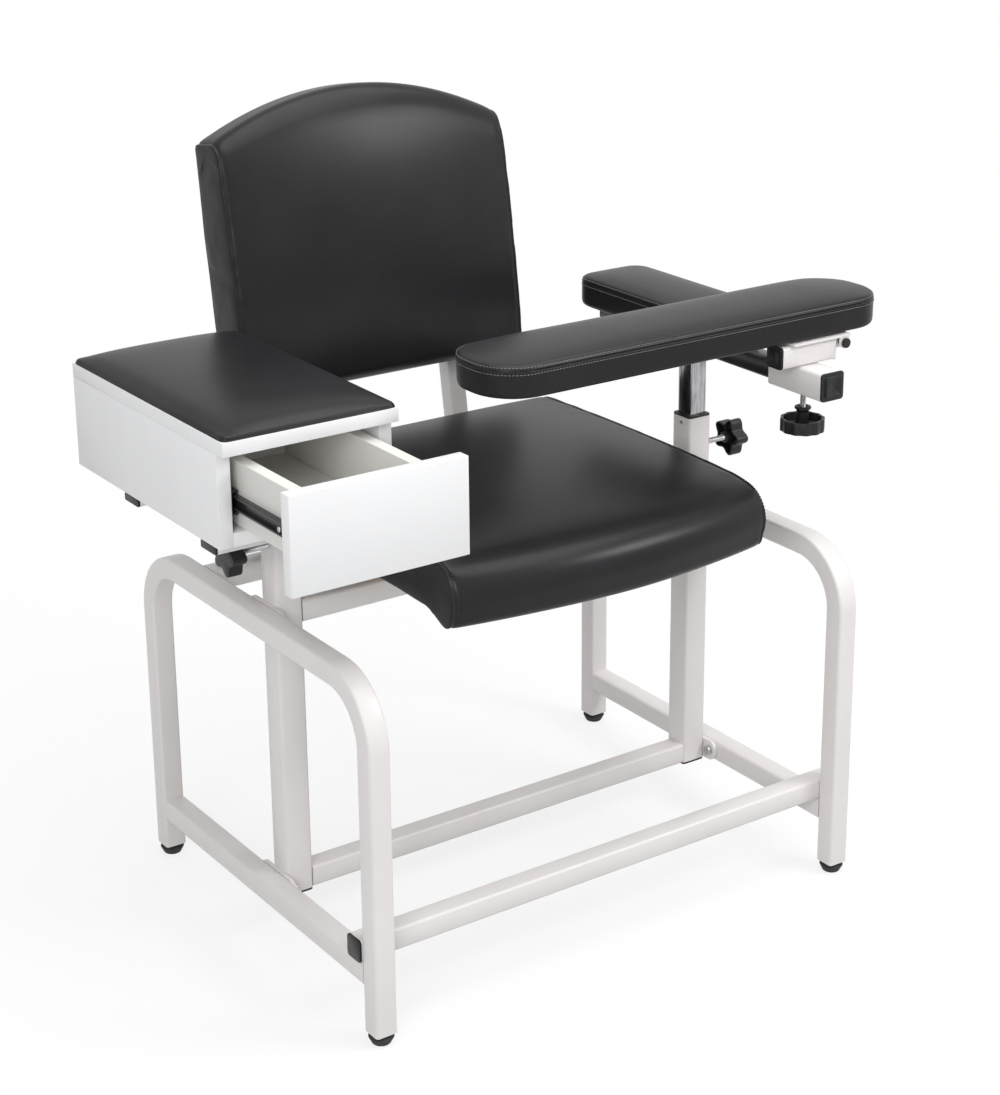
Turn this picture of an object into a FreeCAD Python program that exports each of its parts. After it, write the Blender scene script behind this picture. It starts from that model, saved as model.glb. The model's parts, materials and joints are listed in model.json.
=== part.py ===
import FreeCAD, Part
import math
import os
from FreeCAD import Placement, Rotation, Vector

os.makedirs("parts", exist_ok=True)

# Phlebotomy chair. Millimetres and degrees. X runs to the sitter's left, the chair faces -Y, Z is up.
# Everything is drawn upright, with Z = 0 at the lower ends of the front legs, then leaned back as a whole
# and set on its four level pads.

# Clearances and fits
slide_gap = 0.1          # per side, tube in plastic guide
turn_gap = 0.05          # radial, shaft in hole
curve_gap = 0.3          # between curved faces of two moving bodies
free_gap = 1.0           # between neighbours that pass each other
overrun = 2.0            # how far a cutting shape runs past the face it opens

# Tube stock
leg_tube = 30.0
post_tube = 38.0
slim_tube = 28.0
wall = 2.0
post_wall = 2.5
corner = 4.0
corner_facets = 2        # flats that stand for a tube's small corner radius
round_facets = 4         # flats in a quarter turn of the larger corners
screw_facets = 16        # flats round the small fixed screws and their holes
pad_facets = 20          # flats round the floor pads
plug_flange = 3.0
plug_depth = 12.0

# Side frames
frame_width = 768.0
frame_depth = 588.0
loop_top = 468.0
loop_bend = 77.0         # centre-line bend radius
rail_low = 62.0
lean_back = 1.85         # the whole chair leans back by this angle

# Centre frame
tab_thick = 5.0          # plates between the posts and the side frames
post_top = 590.0
rear_bar_place = 152.0   # centre of the rear upper crossbar, behind the posts
tab_length = 90.0
tab_screw_spread = 62.0
screw_shank = 8.0
screw_head = 14.0
screw_head_height = 4.4
hex_socket = 5.0         # over its corners
hex_sides = 6
socket_depth = 2.4

# Levelling feet
pad_width = 33.0
pad_floor_width = 24.0
pad_height = 13.0
pad_rim = 4.0
socket_floor = 4.0       # above the ground
socket_gap = 0.5         # round the pin, so that the pad can lie level
stud = 8.0
pad_drop = 1.2           # from leg end to pad top
insert_depth = 24.0

# Seat
seat_side_gap = 65.0     # between the cushion and each post
seat_rear = 240.0
seat_nose = -262.0
seat_bow = 38.0          # the front edge is this much further forward in the middle
seat_thick = 66.0
seat_crown = 12.0
nose_drop = 24.0         # the nose hangs this much below the cushion's flat bottom
nose_reach = 74.0
nose_return = 44.0
board = 12.0
board_inset = 34.0
cushion_corner = 16.0
crown_edge_share = 0.3   # share of the crown's bulge left at the cushion's sides
nose_facets = 6
seat_section_places = (0.0, 3.0, 7.0, 9.0, 11.0, 59.0, 138.0)     # inward from the side face
seat_section_insets = (5.0, 1.5, 0.0, 2.0, 0.0, 0.0, 0.0)         # the seam's groove is at the fourth section
seat_crown_shares = (0.0, 0.0, 0.0, 0.0, 0.0, 0.3, 0.75)
back_tube_spread = 306.0
back_tube_front = 108.0  # front end of the seat rails, ahead of the posts
back_bend = 60.0
back_tube_top = 905.0

# Backrest
back_side_inset = 17.0   # the back is this much narrower than the seat at each side
back_thick = 84.0
back_low = 643.0
back_low_place = 250.0   # front lower edge, behind the posts
back_lean = 8.9
back_side_height = 346.0
back_arch = 60.0
back_corner = 26.0
back_board_inset = 26.0
arch_facets = 10
back_level_shares = (0.0, 0.04, 0.14, 0.76, 0.81, 0.86, 0.94, 0.985, 1.0)   # rear to front
back_level_insets = (5.0, 1.0, 0.0, 0.0, 2.5, 1.0, 8.0, 30.0, 66.0)

# Height posts
left_inner_length = 260.0
right_inner_length = 280.0
collar_flange = 3.0
collar_depth = 22.0
guide_length = 25.0
knob_drop = 45.0         # knob axis below the post's top
knob_reach = 42.0        # from the post's face to the knob
knob_width = 56.0
knob_root = 36.0
knob_thick = 20.0
knob_lobes = 5
lobe_facets = 8
knob_hub = 20.0
knob_hub_length = 8.0

# Storage cabinet
cabinet_width = 238.0
cabinet_front = -120.0
cabinet_back_gap = 7.0   # cabinet beside the backrest
cabinet_height = 119.0   # sides, below the lid
panel = 18.0
back_panel = 12.0
cross_tube_width = 38.0
cross_tube_height = 10.0
cross_tube_wall = 1.5
cross_front_place = 31.0   # centre of the front cross tube behind the cabinet's front
cross_pitch = 204.0
pad_foam = 21.0
pad_foam_inset = 4.0
foam_level_shares = (0.0, 0.2, 0.46, 0.74, 0.93, 1.0)
foam_level_insets = (1.5, 0.0, 1.8, 11.0, 34.0, 60.0)

# Drawer
drawer_open = 151.0      # as photographed
drawer_travel = 240.0
drawer_front_height = 122.0
drawer_lid_gap = 2.0
drawer_panel = 16.0
drawer_length = 350.0
drawer_floor = 12.0
drawer_lift = 4.0        # tray above the cabinet's floor
drawer_side_height = 81.0
slide_space = 12.7
slide_height = 27.0
slide_length = 350.0
slide_sheet = 1.2
slide_depth = 10.0
slide_lip = 2.4
slide_inner_height = 17.0
slide_inner_depth = 8.5
slide_axis_height = 54.0   # above the cabinet's underside
slide_front_gap = 3.0
slide_rear_gap = 22.0    # behind the slides
slide_stop_length = 14.0
slide_stop_rim = 2.0
cage_width = 5.0

# Draw arm
arm_rise = 94.0          # underside of the black bar above the post's collar, as photographed
arm_bar_front = -262.0
arm_bar_rear = 195.0
sleeve_front = -284.0
sleeve_length = 102.0
cap_raise = 2.0
cap_raise_share = 0.72
arm_tube_reach = 47.0    # left end of the tube that carries the front arm rest, from the bar's middle
arm_tube_length = 88.0
arm_tube_front = -243.0
wheel_place = -231.0
wheel_width = 60.0
wheel_height = 17.0
wheel_wall = 4.0
wheel_floor = 3.0
wheel_lobes = 12
wheel_hub = 22.0
wheel_hub_top = 20.0     # hub top below the sleeve
wheel_rim_top = 37.0     # rim top below the sleeve
pin_reach = 55.0         # pin axis beside the bar's middle
pin_height = 22.0        # pin axis above the sleeve
pin = 8.0
pin_cap = 13.0
pin_cap_thick = 4.0
lug = 15.0
plate = 3.0
ear = 4.0
bracket_reach_left = 32.0
bracket_reach_right = 66.0
bracket_rear = -150.0

# Arm rests
arm_pad_thick = 42.0
front_pad_length = 631.0
front_pad_reach = 138.0  # right end beside the bar's middle
front_pad_front = -246.0
front_pad_width = 134.0
front_pad_corner = 46.0
rear_pad_width = 118.0
rear_pad_rear = 200.0
rear_pad_front = -85.0
rear_pad_corner = 32.0
arm_board = 10.0
arm_board_inset = 18.0
arm_level_shares = (0.0, 0.12, 0.84, 0.87, 0.9, 1.0, 1.1, 1.17)
arm_level_insets = (3.0, 0.0, 0.0, 1.8, 0.2, 5.0, 16.0, 30.0)

flat_limit = 0.001       # corners whose box of edges holds less than this, in cubic mm, lie in one plane

# Height of a quarter circle's middle over its tangent, as a share of the radius
quarter_share = 1.0 - math.sqrt(0.5)

# Derived places
half_frame = frame_width / 2
loop_x = half_frame - leg_tube / 2
leg_y = frame_depth / 2 - leg_tube / 2
rail_top = rail_low + leg_tube
bar_top = loop_top
bar_low = bar_top - leg_tube
post_low = rail_low
post_face = post_tube / 2
frame_inner = half_frame - leg_tube
post_x = frame_inner - tab_thick - post_face
post_gap = 2 * (post_x - post_face)
seat_width = post_gap - 2 * seat_side_gap
back_width = seat_width - 2 * back_side_inset
arm_tube_left = post_x - arm_tube_reach
pin_place = post_x + pin_reach
bracket_left = post_x - bracket_reach_left
bracket_right = post_x + bracket_reach_right
front_pad_right = post_x + front_pad_reach
front_pad_left = front_pad_right - front_pad_length
rear_lift = 2 * leg_y * math.tan(math.radians(lean_back))
collar_top = post_top + collar_flange
arm_bar_height = collar_top + arm_rise
cabinet_right = -back_width / 2 - cabinet_back_gap
cabinet_left = cabinet_right - cabinet_width
cabinet_depth = slide_front_gap + slide_length + slide_rear_gap + back_panel
knob_height = post_top - knob_drop

X = Vector(1, 0, 0)
Y = Vector(0, 1, 0)
Z = Vector(0, 0, 1)


def box(x_low, x_high, y_low, y_high, z_low, z_high):
    """Solid box between two corners."""
    return Part.makeBox(x_high - x_low, y_high - y_low, z_high - z_low, Vector(x_low, y_low, z_low))


def rod(start, direction, length, width):
    """Solid round bar of the given diameter."""
    return Part.makeCylinder(width / 2, length, start, direction)


def frame_at(origin, normal, across):
    """Placement whose local z is the normal and whose local x is the across direction."""
    return Placement(origin, Rotation(across, normal.cross(across), normal, "ZXY"))


def bow(first, middle, last, facets=round_facets):
    """Points along the circular arc through three points, without its last one."""
    return Part.Arc(first, middle, last).toShape().discretize(Number=facets + 1)[:-1]


def ring(width, sides):
    """Closed wire of a regular polygon in the local XY plane; the width is measured over its corners."""
    turns = [2 * math.pi * (side % sides) / sides for side in range(sides + 1)]
    return Part.makePolygon([Vector(width / 2 * math.cos(t), width / 2 * math.sin(t), 0) for t in turns])


def rounded(width, height, radius, lift=0.0, facets=corner_facets):
    """Closed wire of a rectangle in the local XY plane, its round corners in the given number of flats."""
    points = []
    for quarter, (x_side, y_side) in enumerate(((1, 1), (-1, 1), (-1, -1), (1, -1))):
        for step in range(facets + 1):
            turn = (quarter + step / facets) * math.pi / 2
            x = x_side * (width / 2 - radius) + radius * math.cos(turn)
            y = y_side * (height / 2 - radius) + radius * math.sin(turn)
            points.append(Vector(x, y, lift))
    return Part.makePolygon(points + points[:1])


def square(width, height, lift=0.0):
    """Closed wire of a sharp rectangle, centred in the local XY plane."""
    w = width / 2
    h = height / 2
    p = [Vector(x, y, lift) for x, y in ((-w, -h), (w, -h), (w, h), (-w, h), (-w, -h))]
    return Part.makePolygon(p)


def prism(wire, origin, direction, length, across):
    """Extrudes a local wire from the origin along a direction."""
    face = Part.Face(wire)
    face.Placement = frame_at(origin, direction, across)
    return face.extrude(direction * length)


def tube(origin, direction, length, across, width, height=None, thick=wall, radius=corner):
    """Hollow rectangular tube with round outer corners; width lies along the across direction."""
    height = width if height is None else height
    outer = prism(rounded(width, height, radius), origin, direction, length, across)
    inner = prism(square(width - 2 * thick, height - 2 * thick), origin - direction * overrun, direction,
                  length + 2 * overrun, across)
    return outer.cut(inner)


def end_plug(origin, outward, across, width, height=None, thick=wall, flange=plug_flange, depth=plug_depth):
    """Plastic plug: a flange on the tube's end and a block inside its bore."""
    height = width if height is None else height
    head = prism(rounded(width, height, corner), origin, outward, flange, across)
    bore = square(width - 2 * thick, height - 2 * thick)
    inner = prism(bore, origin - outward * depth, outward, depth, across)
    return head.fuse(inner).removeSplitter()


def flat_faces(corners):
    """One flat face through four corners, or two triangles where they don't lie in a plane."""
    a, b, c, d = corners
    if abs((b - a).cross(c - a).dot(d - a)) < flat_limit:
        return [Part.Face(Part.makePolygon([a, b, c, d, a]))]
    return [Part.Face(Part.makePolygon([a, b, c, a])), Part.Face(Part.makePolygon([a, c, d, a]))]


def loft(wires):
    """Closed solid of flat faces through a row of polygons with the same number of corners."""
    rows = [[vertex.Point for vertex in wire.OrderedVertexes] for wire in wires]
    faces = [Part.Face(wires[0]), Part.Face(wires[-1])]
    for near, far in zip(rows, rows[1:]):
        for k in range(len(near)):
            faces += flat_faces((near[k - 1], near[k], far[k], far[k - 1]))
    shell = Part.makeShell(faces)
    shell.sewShape()
    solid = Part.makeSolid(shell)
    return solid if solid.Volume > 0 else solid.reversed()


def moved(shape, x=0.0, y=0.0, z=0.0):
    """Copy of a shape shifted by the given amounts."""
    copy = shape.copy()
    copy.translate(Vector(x, y, z))
    return copy


def mirrored(shape):
    """Copy of a shape mirrored left to right."""
    return shape.mirror(Vector(0, 0, 0), X)


def group(shapes):
    """Several separate solids kept in one node."""
    return Part.makeCompound(shapes)


parts = {}


# Side frames: a bent tube with two legs, and a straight rail between the legs.
def bent_bar(wire, start, heading, bend, steps):
    """Solid bar in a plane of constant X; a step is a length, or a turn about X as a one-item tuple."""
    face = Part.Face(wire)
    face.Placement = frame_at(start, heading, X)
    spot = start
    pieces = []
    for step in steps:
        if isinstance(step, tuple):
            axis = X * math.copysign(1, step[0])
            angle = abs(step[0])
            centre = spot + axis.cross(heading) * bend
            pieces.append(face.revolve(centre, axis, angle))
            face.rotate(centre, axis, angle)
            spin = Rotation(axis, angle)
            spot = centre + spin.multVec(spot - centre)
            heading = spin.multVec(heading)
        else:
            pieces.append(face.extrude(heading * step))
            face.translate(heading * step)
            spot = spot + heading * step
    return pieces[0].fuse(pieces[1:]).removeSplitter()


def side_loop():
    """Bent tube of one side, hollow, open at both leg ends."""
    quarter = (-90.0,)
    front_leg = loop_top - leg_tube / 2 - loop_bend
    top_run = 2 * (leg_y - loop_bend)
    rear_leg = front_leg - rear_lift
    bore = leg_tube - 2 * wall
    foot = Vector(0, -leg_y, 0)
    outer = bent_bar(rounded(leg_tube, leg_tube, corner), foot, Z, loop_bend,
                     (front_leg, quarter, top_run, quarter, rear_leg))
    inner = bent_bar(square(bore, bore), foot - Z * overrun, Z, loop_bend,
                     (front_leg + overrun, quarter, top_run, quarter, rear_leg + overrun))
    return outer.cut(inner)


def side_rail():
    """Lower rail between the two legs of one side."""
    span = 2 * leg_y - leg_tube
    return tube(Vector(0, -span / 2, rail_low + leg_tube / 2), Y, span, X, leg_tube)


def tab(height):
    """Oblong plate that joins a post to the side frame, with two screw holes."""
    outline = rounded(leg_tube, tab_length, leg_tube / 2 - turn_gap, facets=round_facets)
    shape = prism(outline, Vector(post_x + post_face, 0, height), X, tab_thick, Z)
    return shape.cut(screw_holes(height))


def tab_screws(height):
    """Two button screws that hold one tab to the side frame."""
    screws = []
    for side in (-1, 1):
        face = Vector(post_x + post_face, side * tab_screw_spread / 2, height)
        top = face - X * screw_head_height
        head = prism(ring(screw_head, screw_facets), top, X, screw_head_height, Y)
        shank = prism(ring(screw_shank, screw_facets), face, X, tab_thick + plug_depth, Y)
        screws.append(head.fuse(shank).cut(prism(ring(hex_socket, hex_sides), top, X, socket_depth, Y)))
    return screws


def screw_holes(height):
    """Cutting bars for the screws of one tab, through the tab and the side frame's inner wall."""
    hole = ring(screw_shank + 2 * turn_gap, screw_facets)
    depth = post_face + tab_thick + leg_tube / 2
    return [prism(hole, Vector(post_x, side * tab_screw_spread / 2, height), X, depth, Y) for side in (-1, 1)]


rail_mid = rail_low + leg_tube / 2
bar_mid = bar_low + leg_tube / 2
loop = moved(side_loop(), x=loop_x)
rail = moved(side_rail(), x=loop_x)
loop = loop.cut(screw_holes(bar_mid))
rail = rail.cut(screw_holes(rail_mid))
screws = tab_screws(bar_mid) + tab_screws(rail_mid)
parts["right_loop"] = loop
parts["left_loop"] = mirrored(loop)
parts["side_rails"] = group([rail, mirrored(rail)])
tabs = [tab(bar_mid), tab(rail_mid)]
parts["post_tabs"] = group(tabs + [mirrored(form) for form in tabs])
parts["tab_screws"] = group(screws + [mirrored(form) for form in screws])

# Crossbars
front_bar_y = -leg_y + leg_tube
front_bar_mid = rail_top + leg_tube / 2
parts["front_crossbar"] = tube(Vector(-half_frame, front_bar_y, front_bar_mid), X, frame_width, Y, leg_tube)
right_plugs = [end_plug(Vector(half_frame, front_bar_y, front_bar_mid), X, Y, leg_tube)]
centre_bar_y = leg_tube / 2 - post_face
parts["post_crossbars"] = group([tube(Vector(-post_gap / 2, centre_bar_y, height), X, post_gap, Y, leg_tube)
                                 for height in (rail_mid, bar_mid)])
parts["rear_crossbar"] = tube(Vector(-frame_inner, rear_bar_place, bar_mid), X, 2 * frame_inner, Y, leg_tube)

# Posts, their lower plugs and the guides in their mouths
post_bore = post_tube - 2 * post_wall
knob_hole = rod(Vector(post_x, 0, knob_height), X, post_tube, stud + 2 * turn_gap)
post = tube(Vector(post_x, 0, post_low), Z, post_top - post_low, X, post_tube, thick=post_wall).cut(knob_hole)
right_plugs.append(end_plug(Vector(post_x, 0, post_low), -Z, X, post_tube, thick=post_wall))
guide_bore = slim_tube + 2 * slide_gap
collar = prism(rounded(post_tube, post_tube, corner), Vector(post_x, 0, post_top), Z, collar_flange, X)
collar = collar.fuse(prism(square(post_bore, post_bore), Vector(post_x, 0, post_top - collar_depth), Z,
                           collar_depth, X))
bore_low = Vector(post_x, 0, post_top - collar_depth - overrun)
bore_length = collar_depth + collar_flange + 2 * overrun
collar = collar.cut(prism(square(guide_bore, guide_bore), bore_low, Z, bore_length, X)).removeSplitter()
parts["right_post"] = post
parts["left_post"] = mirrored(post)
parts["post_collars"] = group([collar, mirrored(collar)])


# Clamping star knobs: a lobed head and a steel stud that presses on the inner tube
def star(width, root, lobes, thick):
    """Lobed wheel in the local XY plane, its rim swinging evenly between the lobes' width and the roots."""
    middle = (width + root) / 4
    swing = (width - root) / 4
    count = lobes * lobe_facets
    points = []
    for step in range(count + 1):
        turn = 2 * math.pi * (step % count) / count
        reach = middle + swing * math.cos(lobes * turn)
        points.append(Vector(reach * math.cos(turn), reach * math.sin(turn), 0))
    return Part.Face(Part.makePolygon(points)).extrude(Z * thick)


def star_knob():
    """Star knob with a hub towards the post."""
    head = star(knob_width, knob_root, knob_lobes, knob_thick)
    return head.fuse(rod(Vector(0, 0, -knob_hub_length), Z, knob_hub_length, knob_hub))


stud_tip = post_x + slim_tube / 2 + turn_gap
knob_base = post_x + post_face + knob_reach
knob = star_knob()
knob.Placement = frame_at(Vector(knob_base, 0, knob_height), X, -Y)
knob = knob.fuse(rod(Vector(stud_tip, 0, knob_height), X, knob_base - stud_tip + knob_thick / 2, stud))
knob = knob.removeSplitter()
parts["right_knob"] = knob
parts["left_knob"] = mirrored(knob)

# Seat rails that turn up to carry the backrest
lean = math.radians(back_lean)
up_back = Vector(0, math.sin(lean), math.cos(lean))
to_front = Vector(0, -math.cos(lean), math.sin(lean))
back_origin = Vector(0, back_low_place, back_low)
back_face = back_origin - to_front * back_thick
tube_line = back_face - to_front * (slim_tube / 2)
seat_rail_mid = bar_top + slim_tube / 2
rise = (seat_rail_mid - tube_line.z) / up_back.z
bend_corner = tube_line + up_back * rise
tube_top = tube_line + up_back * ((back_tube_top - tube_line.z) / up_back.z)
reach = back_bend * math.tan((math.pi / 2 - lean) / 2)
rail_front = Vector(0, -back_tube_front, seat_rail_mid)
rail_run = bend_corner.y - reach + back_tube_front
upright_run = (tube_top - bend_corner).Length - reach
bend_turn = (90.0 - back_lean,)
slim_bore = slim_tube - 2 * wall
outer = bent_bar(rounded(slim_tube, slim_tube, corner), rail_front, Y, back_bend,
                 (rail_run, bend_turn, upright_run))
inner = bent_bar(square(slim_bore, slim_bore), rail_front - Y * overrun, Y, back_bend,
                 (rail_run + overrun, bend_turn, upright_run + overrun))
back_tube = moved(outer.cut(inner), x=back_tube_spread / 2)
right_plugs.append(moved(end_plug(rail_front, -Y, X, slim_tube), x=back_tube_spread / 2))
right_plugs.append(moved(end_plug(tube_top, up_back, X, slim_tube), x=back_tube_spread / 2))
parts["tube_plugs"] = group(right_plugs + [mirrored(form) for form in right_plugs])


# Seat board and cushion
seat_board_low = bar_top + slim_tube
cushion_low = seat_board_low + board
seat_top = cushion_low + seat_thick
half_seat = seat_width / 2


def seat_profile(x, inset, sink):
    """Side view of the cushion at one place across the seat, as a closed wire of lines and arcs."""
    middle_share = 1 - (x / half_seat) ** 2
    nose = seat_nose - seat_bow * middle_share + inset
    rear = seat_rear - inset
    top = seat_top - inset - sink
    low = cushion_low + inset / 2
    r = cushion_corner
    k = r * quarter_share
    nose_mid = top - (top - low + nose_drop) / 2
    lowest = low - nose_drop + inset / 2
    start = nose + nose_return + inset
    fall = nose + nose_reach
    bulge = seat_crown / 3 * (crown_edge_share + (1 - crown_edge_share) * middle_share)
    crown = Vector(x, (rear - r + fall) / 2, top + bulge)
    p = [
        Vector(x, start, low), Vector(x, rear - r, low), Vector(x, rear - k, low + k),
        Vector(x, rear, low + r), Vector(x, rear, top - r), Vector(x, rear - k, top - k),
        Vector(x, rear - r, top), Vector(x, fall, top)]
    nose_high = Vector(x, nose + nose_reach * quarter_share, top - (top - nose_mid) * quarter_share)
    nose_front = Vector(x, nose, nose_mid)
    half_return = nose_return / 2
    nose_low = Vector(x, nose + half_return, lowest)
    under_fall = (nose_mid - lowest) * (1 - quarter_share)
    under = Vector(x, nose + half_return * quarter_share, nose_mid - under_fall)
    points = [p[0]] + bow(p[1], p[2], p[3]) + [p[3]]
    points += bow(p[4], p[5], p[6]) + bow(p[6], crown, p[7]) + bow(p[7], nose_high, nose_front, nose_facets)
    points += bow(nose_front, under, nose_low) + [nose_low, p[0]]
    return Part.makePolygon(points)


seat_sections = list(zip(seat_section_places, seat_section_insets, seat_crown_shares))
seat_wires = []
for place, inset, share in seat_sections:
    seat_wires.append(seat_profile(place - half_seat, inset, -share * seat_crown))
seat_wires.append(seat_profile(0.0, 0.0, -seat_crown))
for place, inset, share in reversed(seat_sections):
    seat_wires.append(seat_profile(half_seat - place, inset, -share * seat_crown))
parts["seat_cushion"] = loft(seat_wires)

board_front = seat_nose + nose_return + board
seat_board_depth = seat_rear - board_inset - board_front
board_outline = rounded(seat_width - 2 * board_inset, seat_board_depth, cushion_corner, facets=round_facets)
seat_board_mid = Vector(0, board_front + seat_board_depth / 2, seat_board_low)
parts["seat_board"] = prism(board_outline, seat_board_mid, Z, board, X)


# Backrest, drawn flat (local x across, local y up the back, local z to the front) and stood up after
def back_outline(inset, lift):
    """Arched outline of the backrest, drawn in by the inset."""
    w = back_width / 2 - inset
    low = inset
    side = back_side_height - inset
    r = back_corner
    k = r * quarter_share
    top = back_side_height + back_arch - inset
    slope = 2 * math.atan2(back_arch, w)
    half_turn = (math.pi / 2 - slope) / 2
    cut = r * math.tan(half_turn)
    arch_x = w - cut * math.cos(slope)
    arch_y = side + cut * math.sin(slope)
    mid_x = w - r * (1 - math.cos(half_turn))
    mid_y = side - cut + r * math.sin(half_turn)
    p = [Vector(x, y, lift) for x, y in (
        (r - w, low), (w - r, low), (w - k, low + k), (w, low + r), (w, side - cut), (mid_x, mid_y),
        (arch_x, arch_y), (0.0, top), (-arch_x, arch_y), (-mid_x, mid_y), (-w, side - cut), (-w, low + r),
        (k - w, low + k))]
    points = [p[0]] + bow(p[1], p[2], p[3]) + [p[3]] + bow(p[4], p[5], p[6])
    points += bow(p[6], p[7], p[8], arch_facets) + bow(p[8], p[9], p[10]) + [p[10]]
    points += bow(p[11], p[12], p[0]) + [p[0]]
    return Part.makePolygon(points)


back_levels = zip(back_level_insets, back_level_shares)
back_form = loft([back_outline(inset, share * back_thick) for inset, share in back_levels])
back_board_outline = rounded(back_width - 2 * back_board_inset, back_side_height - 2 * back_board_inset,
                             cushion_corner, facets=round_facets)
back_board = prism(back_board_outline, Vector(0, back_side_height / 2, 0), Z, board, X)
back_cushion = back_form.cut(back_board)
stand = frame_at(back_face, to_front, X)
for form in (back_cushion, back_board):
    form.Placement = stand.multiply(form.Placement)
parts["back_cushion"] = back_cushion
parts["back_board"] = back_board
parts["right_seat_tube"] = back_tube
parts["left_seat_tube"] = mirrored(back_tube)


# Height tubes with a guide in their lower ends
def height_tube(top, length):
    """Inner tube that slides in a post."""
    return tube(Vector(post_x, 0, top - length), Z, length, X, slim_tube, radius=wall)


def foot_guide(top, length):
    """Plastic block on the inner tube's lower end that runs in the post's bore."""
    side = post_bore - 2 * slide_gap
    low = Vector(post_x, 0, top - length)
    block = prism(square(side, side), low - Z * guide_length, Z, guide_length, X)
    return block.fuse(prism(square(slim_bore, slim_bore), low, Z, plug_depth, X)).removeSplitter()


parts["right_height_tube"] = height_tube(arm_bar_height, right_inner_length)
parts["right_guide"] = foot_guide(arm_bar_height, right_inner_length)
parts["left_height_tube"] = mirrored(height_tube(collar_top, left_inner_length))
parts["left_guide"] = mirrored(foot_guide(collar_top, left_inner_length))

# Storage cabinet and the frame below it
cabinet_low = collar_top + cross_tube_height
cabinet_rear = cabinet_front + cabinet_depth
lid_low = cabinet_low + cabinet_height
lid_top = lid_low + panel
inner_left = cabinet_left + panel
inner_right = cabinet_right - panel
cross_mid = collar_top + cross_tube_height / 2
cross_left = cabinet_left + plug_flange
cross_length = cabinet_width - 2 * plug_flange
cross_y = (cabinet_front + cross_front_place, cabinet_front + cross_front_place + cross_pitch)
frame_bars = []
frame_plugs = []
for place in cross_y:
    frame_bars.append(tube(Vector(cross_left, place, cross_mid), X, cross_length, Y, cross_tube_width,
                           cross_tube_height, thick=cross_tube_wall, radius=wall))
    for x, out in ((cross_left, -X), (cross_left + cross_length, X)):
        head = prism(rounded(cross_tube_width, cross_tube_height, wall), Vector(x, place, cross_mid), out,
                     plug_flange, Y)
        core = prism(square(cross_tube_width - 2 * cross_tube_wall, cross_tube_height - 2 * cross_tube_wall),
                     Vector(x, place, cross_mid) - out * plug_depth, out, plug_depth, Y)
        frame_plugs.append(head.fuse(core).removeSplitter())
spine_gap = cross_pitch - cross_tube_width
frame_bars.append(tube(Vector(-post_x, cross_y[0] + cross_tube_width / 2, cross_mid), Y, spine_gap, X,
                       post_tube, cross_tube_height, thick=cross_tube_wall, radius=wall))
parts["cabinet_frame"] = group(frame_bars)
parts["cabinet_frame_plugs"] = group(frame_plugs)
parts["cabinet_bottom"] = box(inner_left, inner_right, cabinet_front, cabinet_rear, cabinet_low,
                              cabinet_low + panel)
for side, x_low in (("left", cabinet_left), ("right", inner_right)):
    parts["cabinet_" + side + "_side"] = box(x_low, x_low + panel, cabinet_front, cabinet_rear, cabinet_low,
                                             lid_low)
parts["cabinet_back"] = box(inner_left, inner_right, cabinet_rear - back_panel, cabinet_rear,
                            cabinet_low + panel, lid_low)
parts["cabinet_lid"] = box(cabinet_left, cabinet_right, cabinet_front - panel, cabinet_rear, lid_low, lid_top)

lid_length = cabinet_depth + panel
foam_rings = []
for inset, share in zip(foam_level_insets, foam_level_shares):
    drawn_in = 2 * (inset + pad_foam_inset)
    foam_rings.append(rounded(cabinet_width - drawn_in, lid_length - drawn_in, cushion_corner,
                              share * pad_foam, round_facets))
lid_pad = loft(foam_rings)
lid_pad.translate(Vector(cabinet_left + cabinet_width / 2, cabinet_rear - lid_length / 2, lid_top))
parts["lid_pad"] = lid_pad

# Drawer, drawn where the photograph shows it
drawer_rear_face = cabinet_front - drawer_open
drawer_front_face = drawer_rear_face - panel
front_top = lid_low - drawer_lid_gap
tray_left = inner_left + slide_space
tray_right = inner_right - slide_space
tray_low = cabinet_low + panel + drawer_lift
tray_top = tray_low + drawer_side_height
tray_rear = drawer_rear_face + drawer_length
parts["drawer_front"] = box(cabinet_left, cabinet_right, drawer_front_face, drawer_rear_face,
                            front_top - drawer_front_height, front_top)
floor_left = tray_left + drawer_panel
floor_right = tray_right - drawer_panel
floor_rear = tray_rear - drawer_panel
parts["drawer_back"] = box(floor_left, floor_right, floor_rear, tray_rear, tray_low, tray_top)
parts["drawer_floor"] = box(floor_left, floor_right, drawer_rear_face, floor_rear, tray_low,
                            tray_low + drawer_floor)

# Ball-bearing slides, drawn for the left side of the cabinet with the web on its inner face
slide_z = cabinet_low + slide_axis_height
slide_front = cabinet_front + slide_front_gap


def channel(width, depth, sheet, lip, y_low, y_high):
    """Channel with its web at local x = 0, open to +x, with small lips turned in."""
    h = width / 2
    pts = [(0.0, -h), (depth, -h), (depth, lip - h), (depth - sheet, lip - h), (depth - sheet, sheet - h),
           (sheet, sheet - h), (sheet, h - sheet), (depth - sheet, h - sheet), (depth - sheet, h - lip),
           (depth, h - lip), (depth, h), (0.0, h), (0.0, -h)]
    wire = Part.makePolygon([Vector(x, y_low, z) for x, z in pts])
    return Part.Face(wire).extrude(Y * (y_high - y_low))


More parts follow.
